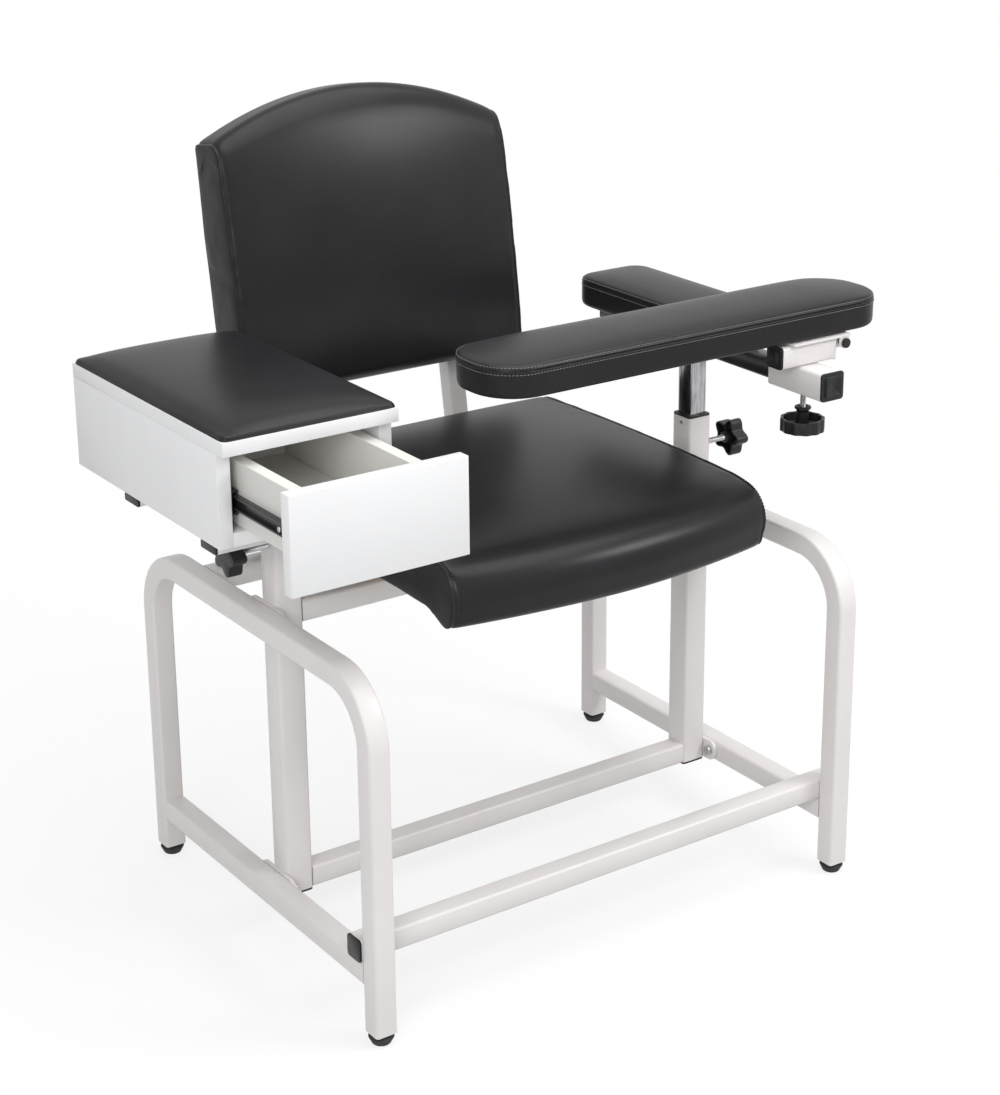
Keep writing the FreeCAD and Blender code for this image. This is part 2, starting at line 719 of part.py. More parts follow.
outer_member = channel(slide_height, slide_depth, slide_sheet, slide_lip, slide_front + slide_stop_length,
                       slide_front + slide_length)
stop_height = slide_height + 2 * slide_stop_rim
stop_block = channel(stop_height, slide_depth, slide_sheet + slide_stop_rim, slide_lip + slide_stop_rim,
                     slide_front, slide_front + slide_stop_length)
inner_front = slide_front - drawer_open
inner_member = channel(slide_inner_height, slide_inner_depth, slide_sheet, slide_lip, inner_front,
                       inner_front + slide_length)
inner_member = inner_member.mirror(Vector(slide_space / 2, 0, 0), X)
race = slide_height / 2 - slide_sheet - slide_inner_height / 2
cage_thick = race - 2 * curve_gap
cage_mid = slide_front + (slide_length - drawer_open) / 2
cage_length = slide_length - drawer_travel - 2 * (slide_stop_length + free_gap)
cage = []
for side in (-1, 1):
    mid = side * (slide_inner_height / 2 + race / 2)
    cage.append(box(slide_sheet + curve_gap, slide_sheet + curve_gap + cage_width, cage_mid - cage_length / 2,
                    cage_mid + cage_length / 2, mid - cage_thick / 2, mid + cage_thick / 2))
cage_reach = slide_inner_height / 2 + race / 2
cage.append(box(slide_sheet + curve_gap, slide_sheet + curve_gap + slide_sheet, cage_mid - cage_length / 2,
                cage_mid + cage_length / 2, -cage_reach, cage_reach))
cage_form = cage[0].fuse(cage[1:]).removeSplitter()
drawer_side = box(slide_space, slide_space + drawer_panel, drawer_rear_face, tray_rear, tray_low - slide_z,
                  tray_top - slide_z)
cabinet_mid = cabinet_left + cabinet_width / 2
paired = {"slide_outers": outer_member, "slide_stops": stop_block, "slide_inners": inner_member,
          "slide_cages": cage_form, "drawer_sides": drawer_side}
for name, shape in paired.items():
    left = moved(shape, x=inner_left, z=slide_z)
    parts[name] = group([left, left.mirror(Vector(cabinet_mid, 0, 0), X)])

# Draw arm: black bar on the right height tube, sleeve on the bar, tube and flip bracket on the sleeve
bar_mid_z = arm_bar_height + slim_tube / 2
bar_length = arm_bar_rear - arm_bar_front
parts["arm_bar"] = tube(Vector(post_x, arm_bar_front, bar_mid_z), Y, bar_length, X, slim_tube)
parts["arm_bar_plugs"] = group([end_plug(Vector(post_x, arm_bar_rear, bar_mid_z), Y, X, slim_tube),
                                end_plug(Vector(post_x, arm_bar_front, bar_mid_z), -Y, X, slim_tube)])

sleeve_low = bar_mid_z - post_tube / 2
sleeve_top = bar_mid_z + post_tube / 2
wheel_hole_low = Vector(post_x, wheel_place, sleeve_low - overrun)
wheel_stud_hole = rod(wheel_hole_low, Z, post_tube / 2, stud + 2 * turn_gap)
parts["sleeve"] = tube(Vector(post_x, sleeve_front, bar_mid_z), Y, sleeve_length, X, post_tube,
                       thick=post_wall).cut(wheel_stud_hole)
liner_length = sleeve_length - plug_depth
liner_front = Vector(post_x, sleeve_front + plug_depth, bar_mid_z)
liner = prism(square(post_bore, post_bore), liner_front, Y, liner_length, X)
liner = liner.cut(prism(square(guide_bore, guide_bore), Vector(post_x, sleeve_front, bar_mid_z), Y,
                        sleeve_length + overrun, X)).cut(wheel_stud_hole)
parts["sleeve_liner"] = liner
cap = end_plug(Vector(post_x, sleeve_front, bar_mid_z), -Y, X, post_tube, thick=post_wall,
               depth=plug_depth / 2)
raised = post_tube * cap_raise_share
cap = cap.fuse(prism(rounded(raised, raised, wall), Vector(post_x, sleeve_front - plug_flange, bar_mid_z), -Y,
                     cap_raise, X)).removeSplitter()

cross_z = sleeve_top + leg_tube / 2
cross_y_mid = arm_tube_front + leg_tube / 2
arm_tube_right = arm_tube_left + arm_tube_length
parts["arm_tube"] = tube(Vector(arm_tube_left, cross_y_mid, cross_z), X, arm_tube_length, Y, leg_tube)
parts["sleeve_plugs"] = group([cap, end_plug(Vector(arm_tube_left, cross_y_mid, cross_z), -X, Y, leg_tube)])

# Hinge lug on the tube's right end, with its pin
pin_z = sleeve_top + pin_height
lug_width = leg_tube - 2 * corner
lug_low = cross_y_mid - lug_width / 2
lug_form = box(arm_tube_right, arm_tube_right + plate, arm_tube_front, arm_tube_front + leg_tube,
               sleeve_top, sleeve_top + leg_tube)
lug_form = lug_form.fuse(box(arm_tube_right, pin_place, lug_low, lug_low + lug_width, pin_z - lug / 2,
                             pin_z + lug / 2))
lug_form = lug_form.fuse(rod(Vector(pin_place, lug_low, pin_z), Y, lug_width, lug))
lug_form = lug_form.cut(rod(Vector(pin_place, lug_low - overrun, pin_z), Y, lug_width + 2 * overrun,
                            pin + 2 * turn_gap)).removeSplitter()
parts["hinge_lug"] = lug_form
bracket_low = arm_tube_front - free_gap - ear
bracket_top = sleeve_top + leg_tube + plate
rear_ear_low = arm_tube_front + leg_tube + free_gap
ear_out = rear_ear_low + ear
pin_length = ear_out - bracket_low
hinge_pin = rod(Vector(pin_place, bracket_low, pin_z), Y, pin_length, pin)
for place, out in ((bracket_low, -Y), (ear_out, Y)):
    hinge_pin = hinge_pin.fuse(rod(Vector(pin_place, place, pin_z), out, pin_cap_thick, pin_cap))
parts["hinge_pin"] = hinge_pin.removeSplitter()

# Flip bracket: plate under the arm rest with two ears round the pin
bracket = box(bracket_left, bracket_right, bracket_low, bracket_rear, bracket_top - plate, bracket_top)
for place in (bracket_low, rear_ear_low):
    ear_form = box(pin_place - lug / 2, pin_place + lug / 2, place, place + ear, pin_z, bracket_top)
    ear_form = ear_form.fuse(rod(Vector(pin_place, place, pin_z), Y, ear, lug))
    bracket = bracket.fuse(ear_form)
bracket = bracket.cut(rod(Vector(pin_place, bracket_low - overrun, pin_z), Y, pin_length + 2 * overrun,
                          pin + 2 * turn_gap)).removeSplitter()

# Handwheel below the sleeve
hub_top_z = sleeve_low - wheel_hub_top
rim_top_z = sleeve_low - wheel_rim_top
rim_low_z = rim_top_z - wheel_height
wheel = star(wheel_width, wheel_width - wheel_wall, wheel_lobes, wheel_height)
hollow = rod(Vector(0, 0, wheel_floor), Z, wheel_height, wheel_width - 3 * wheel_wall)
wheel = wheel.cut(hollow)
wheel = wheel.fuse(rod(Vector(0, 0, 0), Z, hub_top_z - rim_low_z, wheel_hub))
wheel = wheel.fuse(rod(Vector(0, 0, 0), Z, arm_bar_height - turn_gap - rim_low_z, stud)).removeSplitter()
wheel.translate(Vector(post_x, wheel_place, rim_low_z))
parts["handwheel"] = wheel


# Arm rests: padded boards
def arm_pad(width, length, radius, board_form):
    """Crowned pad with round ends and a seam below its top, lying on the local XY plane."""
    rings = []
    for inset, share in zip(arm_level_insets, arm_level_shares):
        ring_radius = max(radius - inset, wall)
        level = share * arm_pad_thick
        rings.append(rounded(width - 2 * inset, length - 2 * inset, ring_radius, level, round_facets))
    return loft(rings).cut(board_form)


def arm_board_at(width, length, radius):
    """Board inside a pad, flush with its underside."""
    inset = arm_board_inset
    outline = rounded(width - 2 * inset, length - 2 * inset, radius - inset / 2, facets=round_facets)
    return prism(outline, Vector(0, 0, 0), Z, arm_board, X)


rear_length = rear_pad_rear - rear_pad_front
rear_board = arm_board_at(rear_pad_width, rear_length, rear_pad_corner)
rear_pad = arm_pad(rear_pad_width, rear_length, rear_pad_corner, rear_board)
rear_place = Vector(post_x, (rear_pad_rear + rear_pad_front) / 2, arm_bar_height + slim_tube)
parts["rear_arm_pad"] = moved(rear_pad, rear_place.x, rear_place.y, rear_place.z)
parts["rear_arm_board"] = moved(rear_board, rear_place.x, rear_place.y, rear_place.z)

front_length = front_pad_right - front_pad_left
front_board = arm_board_at(front_length, front_pad_width, front_pad_corner)
front_pad = arm_pad(front_length, front_pad_width, front_pad_corner, front_board)
front_mid = (front_pad_right + front_pad_left) / 2
front_place = Vector(front_mid, front_pad_front + front_pad_width / 2, bracket_top)
parts["front_arm_pad"] = moved(front_pad, front_place.x, front_place.y, front_place.z)
parts["front_arm_board"] = moved(front_board, front_place.x, front_place.y, front_place.z)
parts["flip_bracket"] = bracket

# Levelling feet: the inserts and their pins lean with the legs, the pads stand level on the floor
pin_drop = pad_drop + pad_height - socket_floor - free_gap
foot_spots = [Vector(-loop_x, -leg_y, 0), Vector(loop_x, -leg_y, 0),
              Vector(-loop_x, leg_y, rear_lift), Vector(loop_x, leg_y, rear_lift)]
leg_bore = leg_tube - 2 * wall
inserts = []
for spot in foot_spots:
    insert = prism(square(leg_bore, leg_bore), spot, Z, insert_depth, X)
    inserts.append(insert.fuse(rod(spot - Z * pin_drop, Z, pin_drop, stud)))
parts["foot_inserts"] = group(inserts)


def foot_pad():
    """Domed pad standing on z = 0, with a socket for the insert's pin open at its top."""
    widths = (pad_floor_width, pad_width, stud + 2 * socket_gap + 2 * pad_rim)
    rings = []
    for width, height in zip(widths, (0.0, pad_height - pad_rim, pad_height)):
        outline = ring(width, pad_facets)
        outline.translate(Z * height)
        rings.append(outline)
    socket = ring(stud + 2 * socket_gap, pad_facets)
    return loft(rings).cut(prism(socket, Z * socket_floor, Z, pad_height, X))


# Lean the chair back, set it on its pads and centre it over the origin
lean_turn = Rotation(X, -lean_back)
level_drop = pad_drop + pad_height
lift = level_drop * math.cos(math.radians(lean_back)) - lean_turn.multVec(foot_spots[0]).z
leaned = {name: shape.copy() for name, shape in parts.items()}
for shape in leaned.values():
    shape.Placement = Placement(Vector(0, 0, lift), lean_turn).multiply(shape.Placement)
pad_form = foot_pad()
foot_centres = [lean_turn.multVec(spot - Z * level_drop / 2) for spot in foot_spots]
leaned["foot_pads"] = group([moved(pad_form, centre.x, centre.y) for centre in foot_centres])
bounds = Part.makeCompound(list(leaned.values())).optimalBoundingBox()
shift = Vector(-bounds.Center.x, -bounds.Center.y, 0)


def placed(point):
    """Where a point of the upright drawing ends up in the finished chair."""
    return lean_turn.multVec(point) + shift + Z * lift


def turned(direction):
    """Direction of the upright drawing in the finished chair."""
    return lean_turn.multVec(direction)


for name, shape in leaned.items():
    shape.translate(shift)
    shape.exportStep("parts/" + name + ".step")
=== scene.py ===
import json
import logging
import math
from dataclasses import dataclass, field
from enum import Enum
from typing import Callable, Iterable, Optional, Sequence, Union

import bmesh
import bpy
from mathutils import Matrix, Vector, noise
from mathutils.bvhtree import BVHTree

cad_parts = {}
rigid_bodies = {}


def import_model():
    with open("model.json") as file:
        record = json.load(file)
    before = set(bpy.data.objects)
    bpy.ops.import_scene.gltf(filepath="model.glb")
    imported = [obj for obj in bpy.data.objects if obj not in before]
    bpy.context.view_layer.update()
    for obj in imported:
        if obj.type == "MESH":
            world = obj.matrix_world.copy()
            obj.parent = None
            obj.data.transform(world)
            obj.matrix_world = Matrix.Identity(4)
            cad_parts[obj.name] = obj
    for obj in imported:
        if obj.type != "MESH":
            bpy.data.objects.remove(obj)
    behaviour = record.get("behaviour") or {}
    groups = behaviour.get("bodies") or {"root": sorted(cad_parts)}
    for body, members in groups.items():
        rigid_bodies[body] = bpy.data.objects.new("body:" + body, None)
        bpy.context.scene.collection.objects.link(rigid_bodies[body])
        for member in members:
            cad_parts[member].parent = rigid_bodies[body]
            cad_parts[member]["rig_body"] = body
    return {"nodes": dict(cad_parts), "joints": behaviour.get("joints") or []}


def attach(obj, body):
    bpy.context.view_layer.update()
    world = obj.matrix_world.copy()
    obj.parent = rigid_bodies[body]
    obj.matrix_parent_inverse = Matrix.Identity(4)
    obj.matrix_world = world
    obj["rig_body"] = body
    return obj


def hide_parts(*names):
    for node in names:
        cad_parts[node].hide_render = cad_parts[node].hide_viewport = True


log = logging.getLogger("chair")

Thing = bpy.types.Object
Test = Callable[[Vector], bool]
Colour = tuple[float, float, float]

MM = 0.001
X, Y, Z = Vector((1, 0, 0)), Vector((0, 1, 0)), Vector((0, 0, 1))
PHOTO_WIDTH = 1000
PHOTO_HEIGHT = 1095
BACK_LEAN = 8.9  # degrees by which the back and the tubes behind it lean
TUBE_SHADING = 50  # degrees; a tube's edges that turn more than this stay sharp in shading
SEAM_DEPTH = 2.6 * MM
FILL_FRAMES = 20


# ---------------------------------------------------------------- shader maths

class Value:
    """One output of a shader node; Python's arithmetic on it adds Math nodes."""

    def __init__(self, recipe: "Recipe", socket: bpy.types.NodeSocket) -> None:
        """Wrap a socket of a recipe's tree."""
        self.recipe = recipe
        self.socket = socket

    def _math(self, operation: str, first: "Number", second: "Number") -> "Value":
        """Add one Math node and return its output."""
        return self.recipe.add("ShaderNodeMath", {"operation": operation}, {0: first, 1: second})

    def __add__(self, other: "Number") -> "Value":
        """Sum."""
        return self._math("ADD", self, other)

    def __radd__(self, other: "Number") -> "Value":
        """Sum with the number first."""
        return self._math("ADD", other, self)

    def __sub__(self, other: "Number") -> "Value":
        """Difference."""
        return self._math("SUBTRACT", self, other)

    def __rsub__(self, other: "Number") -> "Value":
        """Difference with the number first."""
        return self._math("SUBTRACT", other, self)

    def __mul__(self, other: "Number") -> "Value":
        """Product."""
        return self._math("MULTIPLY", self, other)

    def __rmul__(self, other: "Number") -> "Value":
        """Product with the number first."""
        return self._math("MULTIPLY", other, self)


Number = Union[Value, float]


class Recipe:
    """The node tree of one material."""

    def __init__(self, name: str) -> None:
        """Start an empty material.

        Args:
            name: The material's name.
        """
        self.material = bpy.data.materials.new(name)
        self.material.use_nodes = True
        self.tree = self.material.node_tree
        self.tree.nodes.clear()

    def add(self, kind: str, settings: Optional[dict] = None, sockets: Optional[dict] = None,
            output: Union[int, str] = 0) -> Value:
        """Add a node.

        Args:
            kind: The node's type.
            settings: What is set on the node first; "stops" are a ramp's places and colours.
            sockets: Values or links, by the input's name or number.
            output: The output to return.

        Returns:
            The chosen output.
        """
        node = self.tree.nodes.new(kind)
        for key, setting in (settings or {}).items():
            if key == "stops":
                elements = node.color_ramp.elements
                while len(elements) < len(setting):
                    elements.new(0.5)
                for element, (place, colour) in zip(elements, setting):
                    element.position = place
                    element.color = (*colour, 1.0)
            else:
                setattr(node, key, setting)
        for key, value in (sockets or {}).items():
            if isinstance(value, Value):
                self.tree.links.new(value.socket, node.inputs[key])
            else:
                node.inputs[key].default_value = value
        return Value(self, node.outputs[output])

    def place(self) -> Value:
        """Object coordinates, in metres."""
        return self.add("ShaderNodeTexCoord", output="Object")

    def stretched(self, scale: Sequence[float]) -> Value:
        """Object coordinates with each axis scaled."""
        return self.add("ShaderNodeMapping", {}, {"Vector": self.place(), "Scale": tuple(scale)})

    def noise(self, vector: Value, scale: float, detail: float = 2.0, rough: float = 0.5) -> Value:
        """Cloudy noise from 0 to 1.

        Args:
            vector: The coordinates.
            scale: Features per metre.
            detail: Octaves.
            rough: How much the finer octaves count.

        Returns:
            The noise value.
        """
        return self.add("ShaderNodeTexNoise", {}, {"Vector": vector, "Scale": scale, "Detail": detail,
                                                   "Roughness": rough})

    def cells(self, vector: Value, scale: float) -> Value:
        """Rounded cells, such as a pressed leather grain.

        Args:
            vector: The coordinates.
            scale: Cells per metre.

        Returns:
            The distance from each cell's middle.
        """
        return self.add("ShaderNodeTexVoronoi", {"feature": "SMOOTH_F1"}, {"Vector": vector, "Scale": scale,
                                                                            "Smoothness": 0.6})

    def ramp(self, factor: Value, stops: Sequence[tuple[float, Colour]]) -> Value:
        """Colour by a value.

        Args:
            factor: The value, from 0 to 1.
            stops: Places and their colours.

        Returns:
            The colour.
        """
        return self.add("ShaderNodeValToRGB", {"stops": stops}, {"Fac": factor})

    def bump(self, height: Value, distance: float, strength: float = 1.0, below: Optional[Value] = None) -> Value:
        """A normal from a height.

        Args:
            height: Height from 0 to 1.
            distance: What a height of 1 stands for, in metres.
            strength: Share of it that shows.
            below: A normal that this one lies on.

        Returns:
            The normal.
        """
        sockets = {"Height": height, "Distance": distance, "Strength": strength}
        if below is not None:
            sockets["Normal"] = below
        return self.add("ShaderNodeBump", {}, sockets)

    def surface(self, **sockets: Union[Value, float, tuple]) -> bpy.types.Material:
        """End the tree with a Principled BSDF.

        Args:
            sockets: Its inputs, with underscores for blanks.

        Returns:
            The material.
        """
        named = {key.replace("_", " "): value for key, value in sockets.items()}
        shader = self.add("ShaderNodeBsdfPrincipled", {}, named)
        self.add_output(shader)
        return self.material

    def in_sight(self) -> Value:
        """Tell the rays that see from those that light.

        Returns:
            1 for rays from the camera, from a mirror or through glass, and else 0.
        """
        camera, mirror, glass = (self.add("ShaderNodeLightPath", output=f"Is {kind} Ray")
                                 for kind in ("Camera", "Glossy", "Transmission"))
        return camera + mirror + glass

    def add_output(self, shader: Value, kind: str = "ShaderNodeOutputMaterial") -> None:
        """Link a shader to the tree's output."""
        node = self.tree.nodes.new(kind)
        self.tree.links.new(shader.socket, node.inputs["Surface"])


class Backdrop(Recipe):
    """The node tree of the scene's world."""

    def __init__(self, name: str) -> None:
        """Start an empty world and put it round the scene.

        Args:
            name: The world's name.
        """
        world = bpy.data.worlds.new(name)
        bpy.context.scene.world = world
        world.use_nodes = True
        self.tree = world.node_tree
        self.tree.nodes.clear()


def shade(colour: Sequence[float], factor: float) -> Colour:
    """A colour made lighter or darker."""
    return tuple(min(1.0, c * factor) for c in colour)


# ---------------------------------------------------------------- finishes

@dataclass(frozen=True)
class PowderCoat:
    """Baked powder paint with the fine orange peel that it always has."""

    name: str
    colour: Colour
    roughness: float = 0.38
    peel: float = 0.00010

    def make(self) -> bpy.types.Material:
        """Build the finish's node tree.

        Returns:
            The material.
        """
        r = Recipe(self.name)
        at = r.place()
        cloud = r.noise(at, 9.0, 3.0)
        peel = r.noise(at, 620.0, 2.0)
        colour = r.ramp(cloud, ((0.3, shade(self.colour, 0.965)), (0.7, shade(self.colour, 1.01))))
        rough = r.noise(at, 60.0, 3.0) * 0.10 + (self.roughness - 0.05)
        return r.surface(Base_Color=colour, Roughness=rough, Normal=r.bump(peel, self.peel, 0.5),
                         Coat_Weight=0.15, Coat_Roughness=0.12)


@dataclass(frozen=True)
class Vinyl:
    """Coated upholstery cloth with a fine pressed grain and a broad soft gloss."""

    name: str
    colour: Colour
    roughness: float = 0.36
    gloss: float = 0.30
    grain: float = 0.00020

    def make(self) -> bpy.types.Material:
        """Build the finish's node tree.

        Returns:
            The material.
        """
        r = Recipe(self.name)
        at = r.place()
        cloud = r.noise(at, 7.0, 4.0, 0.6)
        colour = r.ramp(cloud, ((0.3, shade(self.colour, 0.86)), (0.72, shade(self.colour, 1.18))))
        grain = r.cells(at, 760.0)
        pore = r.noise(at, 1900.0, 1.0)
        pull = r.noise(at, 22.0, 3.0, 0.5)
        rough = cloud * 0.09 + grain * 0.10 + (self.roughness - 0.08)
        soft = r.bump(pull, 0.0012, 0.35)
        fine = r.bump(grain * 0.8 + pore * 0.3, self.grain, 0.55, soft)
        return r.surface(Base_Color=colour, Roughness=rough, Normal=fine, Specular_IOR_Level=0.03,
                         Coat_Weight=grain * 0.14 + cloud * 0.10 + (self.gloss - 0.10), Coat_Roughness=0.30)


@dataclass(frozen=True)
class Laminate:
    """Melamine-faced board with a satin, faintly pebbled face."""

    name: str
    colour: Colour
    roughness: float = 0.36

    def make(self) -> bpy.types.Material:
        """Build the finish's node tree.

        Returns:
            The material.
        """
        r = Recipe(self.name)
        at = r.place()
        cloud = r.noise(at, 5.0, 3.0)
        pebble = r.noise(at, 900.0, 2.0)
        colour = r.ramp(cloud, ((0.3, shade(self.colour, 0.975)), (0.7, shade(self.colour, 1.01))))
        rough = pebble * 0.12 + (self.roughness - 0.06)
        return r.surface(Base_Color=colour, Roughness=rough, Normal=r.bump(pebble, 0.00006, 0.6),
                         Coat_Weight=0.10, Coat_Roughness=0.25)


@dataclass(frozen=True)
class Plating:
    """Plating on drawn tube, its colour swung between darker and lighter streaks, by default along its length. On the
    chrome the low colour and wide swing are painted reflection of dark and bright surroundings; on the zinc the small
    swing is only uneven tone.
    """

    name: str
    colour: Colour
    roughness: float
    streak: tuple[float, float, float] = (520.0, 520.0, 7.0)
    tone_and_reflection_spread: float = 0.45

    def make(self) -> bpy.types.Material:
        """Build the finish's node tree.

        Returns:
            The material.
        """
        r = Recipe(self.name)
        lines = r.noise(r.stretched(self.streak), 1.0, 4.0, 0.6)
        broad = r.noise(r.place(), 35.0, 2.0)
        dark, light = shade(self.colour, 1.0 - self.tone_and_reflection_spread), shade(self.colour, 1.0 + self.tone_and_reflection_spread)
        # darker and lighter streaks: painted reflection on the chrome, uneven tone on the zinc
        colour = r.ramp(lines * 0.75 + broad * 0.25, ((0.38, dark), (0.60, light)))
        rough = lines * 0.10 + (self.roughness - 0.05)
        return r.surface(Base_Color=colour, Metallic=1.0, Roughness=rough, Normal=r.bump(lines, 0.00004, 0.5))


@dataclass(frozen=True)
class Moulded:
    """Moulded black plastic or rubber with a fine spark-eroded texture."""

    name: str
    colour: Colour
    roughness: float = 0.45
    texture: float = 0.00010

    def make(self) -> bpy.types.Material:
        """Build the finish's node tree.

        Returns:
            The material.
        """
        r = Recipe(self.name)
        at = r.place()
        fine = r.noise(at, 1500.0, 2.0)
        cloud = r.noise(at, 40.0, 3.0)
        colour = r.ramp(cloud, ((0.3, shade(self.colour, 0.85)), (0.7, shade(self.colour, 1.2))))
        rough = fine * 0.14 + cloud * 0.06 + (self.roughness - 0.10)
        return r.surface(Base_Color=colour, Roughness=rough, Normal=r.bump(fine, self.texture, 0.6),
                         Specular_IOR_Level=0.28)


@dataclass(frozen=True)
class Plywood:
    """Bare plywood with a long grain."""

    name: str
    colour: Colour

    def make(self) -> bpy.types.Material:
        """Build the finish's node tree.

        Returns:
            The material.
        """
        r = Recipe(self.name)
        grain = r.noise(r.stretched((90.0, 6.0, 90.0)), 1.0, 5.0, 0.65)
        cloud = r.noise(r.place(), 6.0, 3.0)
        colour = r.ramp(grain * 0.7 + cloud * 0.3, ((0.3, shade(self.colour, 0.72)), (0.7, shade(self.colour, 1.15))))
        return r.surface(Base_Color=colour, Roughness=grain * 0.15 + 0.55, Normal=r.bump(grain, 0.0002, 0.5))


class Finish(Enum):
    """The chair's finishes, each with its slot in the record."""

    FRAME = (PowderCoat("frame_paint", (0.76, 0.73, 0.718)), "white_paint")
    DARK_PAINT = (PowderCoat("slide_paint", (0.020, 0.020, 0.021), 0.30), "black_paint")
    PANEL = (Laminate("cabinet_laminate", (0.81, 0.81, 0.815)), "white_laminate")
    TRAY = (Laminate("tray_laminate", (0.70, 0.69, 0.655), 0.42), "white_laminate")
    VINYL = (Vinyl("seat_vinyl", (0.0135, 0.0135, 0.0148)), "black_vinyl")
    THREAD = (Moulded("seam_thread", (0.20, 0.20, 0.205), 0.5), "black_vinyl")
    DARK_THREAD = (Moulded("dark_seam_thread", (0.035, 0.035, 0.037), 0.5), "black_vinyl")
    # chrome colour kept low, with a wide streak swing: painted reflection of dark surroundings
    CHROME = (Plating("chrome_plate", (0.34, 0.34, 0.35), 0.13), "chrome")
    ZINC = (Plating("zinc_plate", (0.50, 0.50, 0.51), 0.30, (300.0, 300.0, 300.0), 0.12), "steel")
    PLASTIC = (Moulded("black_moulding", (0.013, 0.013, 0.0135), 0.40), "black_plastic")
    RUBBER = (Moulded("foot_rubber", (0.030, 0.030, 0.030), 0.62), "rubber")
    PLY = (Plywood("seat_plywood", (0.42, 0.29, 0.17)), "board")

    def material(self) -> bpy.types.Material:
        """The finish's material, built once."""
        found = bpy.data.materials.get(self.value[0].name)
        return found if found else self.value[0].make()

    def slot(self) -> str:
        """The record's material slot."""
        return self.value[1]


# ---------------------------------------------------------------- bench tools

def deselect() -> None:
    """Leave nothing selected."""
    for thing in bpy.context.selected_objects:
        thing.select_set(False)


def activate(thing: Thing) -> None:
    """Make one object the only one selected.

    Args:
        thing: The object.
    """
    deselect()
    thing.select_set(True)
    bpy.context.view_layer.objects.active = thing


def open_edit(thing: Thing, mode: str = "VERT") -> None:
    """Enter edit mode with nothing selected.

    Args:
        thing: The object.
        mode: VERT, EDGE or FACE.
    """
    activate(thing)
    bpy.ops.object.mode_set(mode="EDIT")
    bpy.ops.mesh.select_mode(type=mode)
    bpy.ops.mesh.select_all(action="DESELECT")


def close_edit() -> None:
    """Leave edit mode."""
    bpy.ops.object.mode_set(mode="OBJECT")


def pick(thing: Thing, test: Test, mode: str = "VERT") -> None:
    """Select points, edges or faces of the object in edit mode by their place, and nothing else.

    Args:
        thing: The object in edit mode.
        test: Says of a point, of both ends of an edge or of a face's middle, whether it is wanted.
        mode: VERT, EDGE or FACE.
    """
    bpy.ops.mesh.select_mode(type=mode)
    bpy.ops.mesh.select_all(action="DESELECT")
    mesh = bmesh.from_edit_mesh(thing.data)
    if mode == "VERT":
        found = [v for v in mesh.verts if test(v.co)]
    elif mode == "EDGE":
        found = [e for e in mesh.edges if all(test(v.co) for v in e.verts)]
    else:
        found = [f for f in mesh.faces if test(f.calc_center_median())]
    for element in found:
        element.select_set(True)
    mesh.select_flush(True)
    bmesh.update_edit_mesh(thing.data)


def pick_facing(thing: Thing, direction: Vector) -> None:
    """Select the faces that look in a direction.

    Args:
        thing: The object in edit mode.
        direction: The direction, of length 1.
    """
    least_cosine = 0.99
    bpy.ops.mesh.select_mode(type="FACE")
    bpy.ops.mesh.select_all(action="DESELECT")
    for f in bmesh.from_edit_mesh(thing.data).faces:
        if f.normal.dot(direction) > least_cosine:
            f.select_set(True)
    bmesh.update_edit_mesh(thing.data)


def apply_modifier(thing: Thing, kind: str, **settings: Union[float, int, str, bool, Thing]) -> None:
    """Add a modifier and apply it.

    Args:
        thing: The object.
        kind: The modifier's type.
        settings: Its settings.
    """
    activate(thing)
    modifier = thing.modifiers.new(kind.lower(), kind)
    for key, value in settings.items():
        setattr(modifier, key, value)
    bpy.ops.object.modifier_apply(modifier=modifier.name)


def soften(thing: Thing, width: float, segments: int = 2, angle: float = 35.0) -> None:
    """Round an object's hard edges.

    Args:
        thing: The object.
        width: The rounding's width.
        segments: Steps of the rounding.
        angle: Edges that turn more than this, in degrees, are rounded.
    """
    apply_modifier(thing, "BEVEL", width=width, segments=segments, limit_method="ANGLE",
                   angle_limit=math.radians(angle), use_clamp_overlap=True)


def smooth(thing: Thing, angle: float = 40.0) -> None:
    """Smooth shading except at edges that turn more than an angle in degrees."""
    activate(thing)
    bpy.ops.object.shade_smooth_by_angle(angle=math.radians(angle))


def tidy_mesh(thing: Thing, gap: float = 0.02 * MM) -> None:
    """Merge doubles and turn every face outwards.

    Args:
        thing: The object.
        gap: How near two points are for them to be merged.
    """
    open_edit(thing)
    bpy.ops.mesh.select_all(action="SELECT")
    bpy.ops.mesh.remove_doubles(threshold=gap)
    bpy.ops.mesh.normals_make_consistent(inside=False)
    close_edit()


def named(name: str) -> Thing:
    """Name the active object and its mesh.

    Args:
        name: The name.

    Returns:
        The object.
    """
    thing = bpy.context.active_object
    thing.name = name
    thing.data.name = name
    return thing


def settle(thing: Thing, place: Matrix) -> None:
    """Apply a place to the mesh, so that the object itself stays at the origin.

    Args:
        thing: The object.
        place: The place.
    """
    thing.data.transform(thing.matrix_world)
    thing.matrix_world = Matrix.Identity(4)
    thing.data.transform(place)
    thing.data.update()


def joined(things: Sequence[Thing], name: str) -> Thing:
    """Join objects into one.

    Args:
        things: The objects.
        name: The new name.

    Returns:
        The joined object.
    """
    deselect()
    for thing in things:
        thing.select_set(True)
    bpy.context.view_layer.objects.active = things[0]
    if len(things) > 1:
        bpy.ops.object.join()
    return named(name)


def axes_matrix(origin: Vector, across: Vector, along: Vector) -> Matrix:
    """A place from an origin and two of its axes.

    Args:
        origin: The origin.
        across: The direction of its X axis.
        along: The direction of its Y axis.

    Returns:
        The place.
    """
    up = across.cross(along)
    return Matrix((
        (across.x, along.x, up.x, origin.x),
        (across.y, along.y, up.y, origin.y),
        (across.z, along.z, up.z, origin.z),
        (0, 0, 0, 1)))


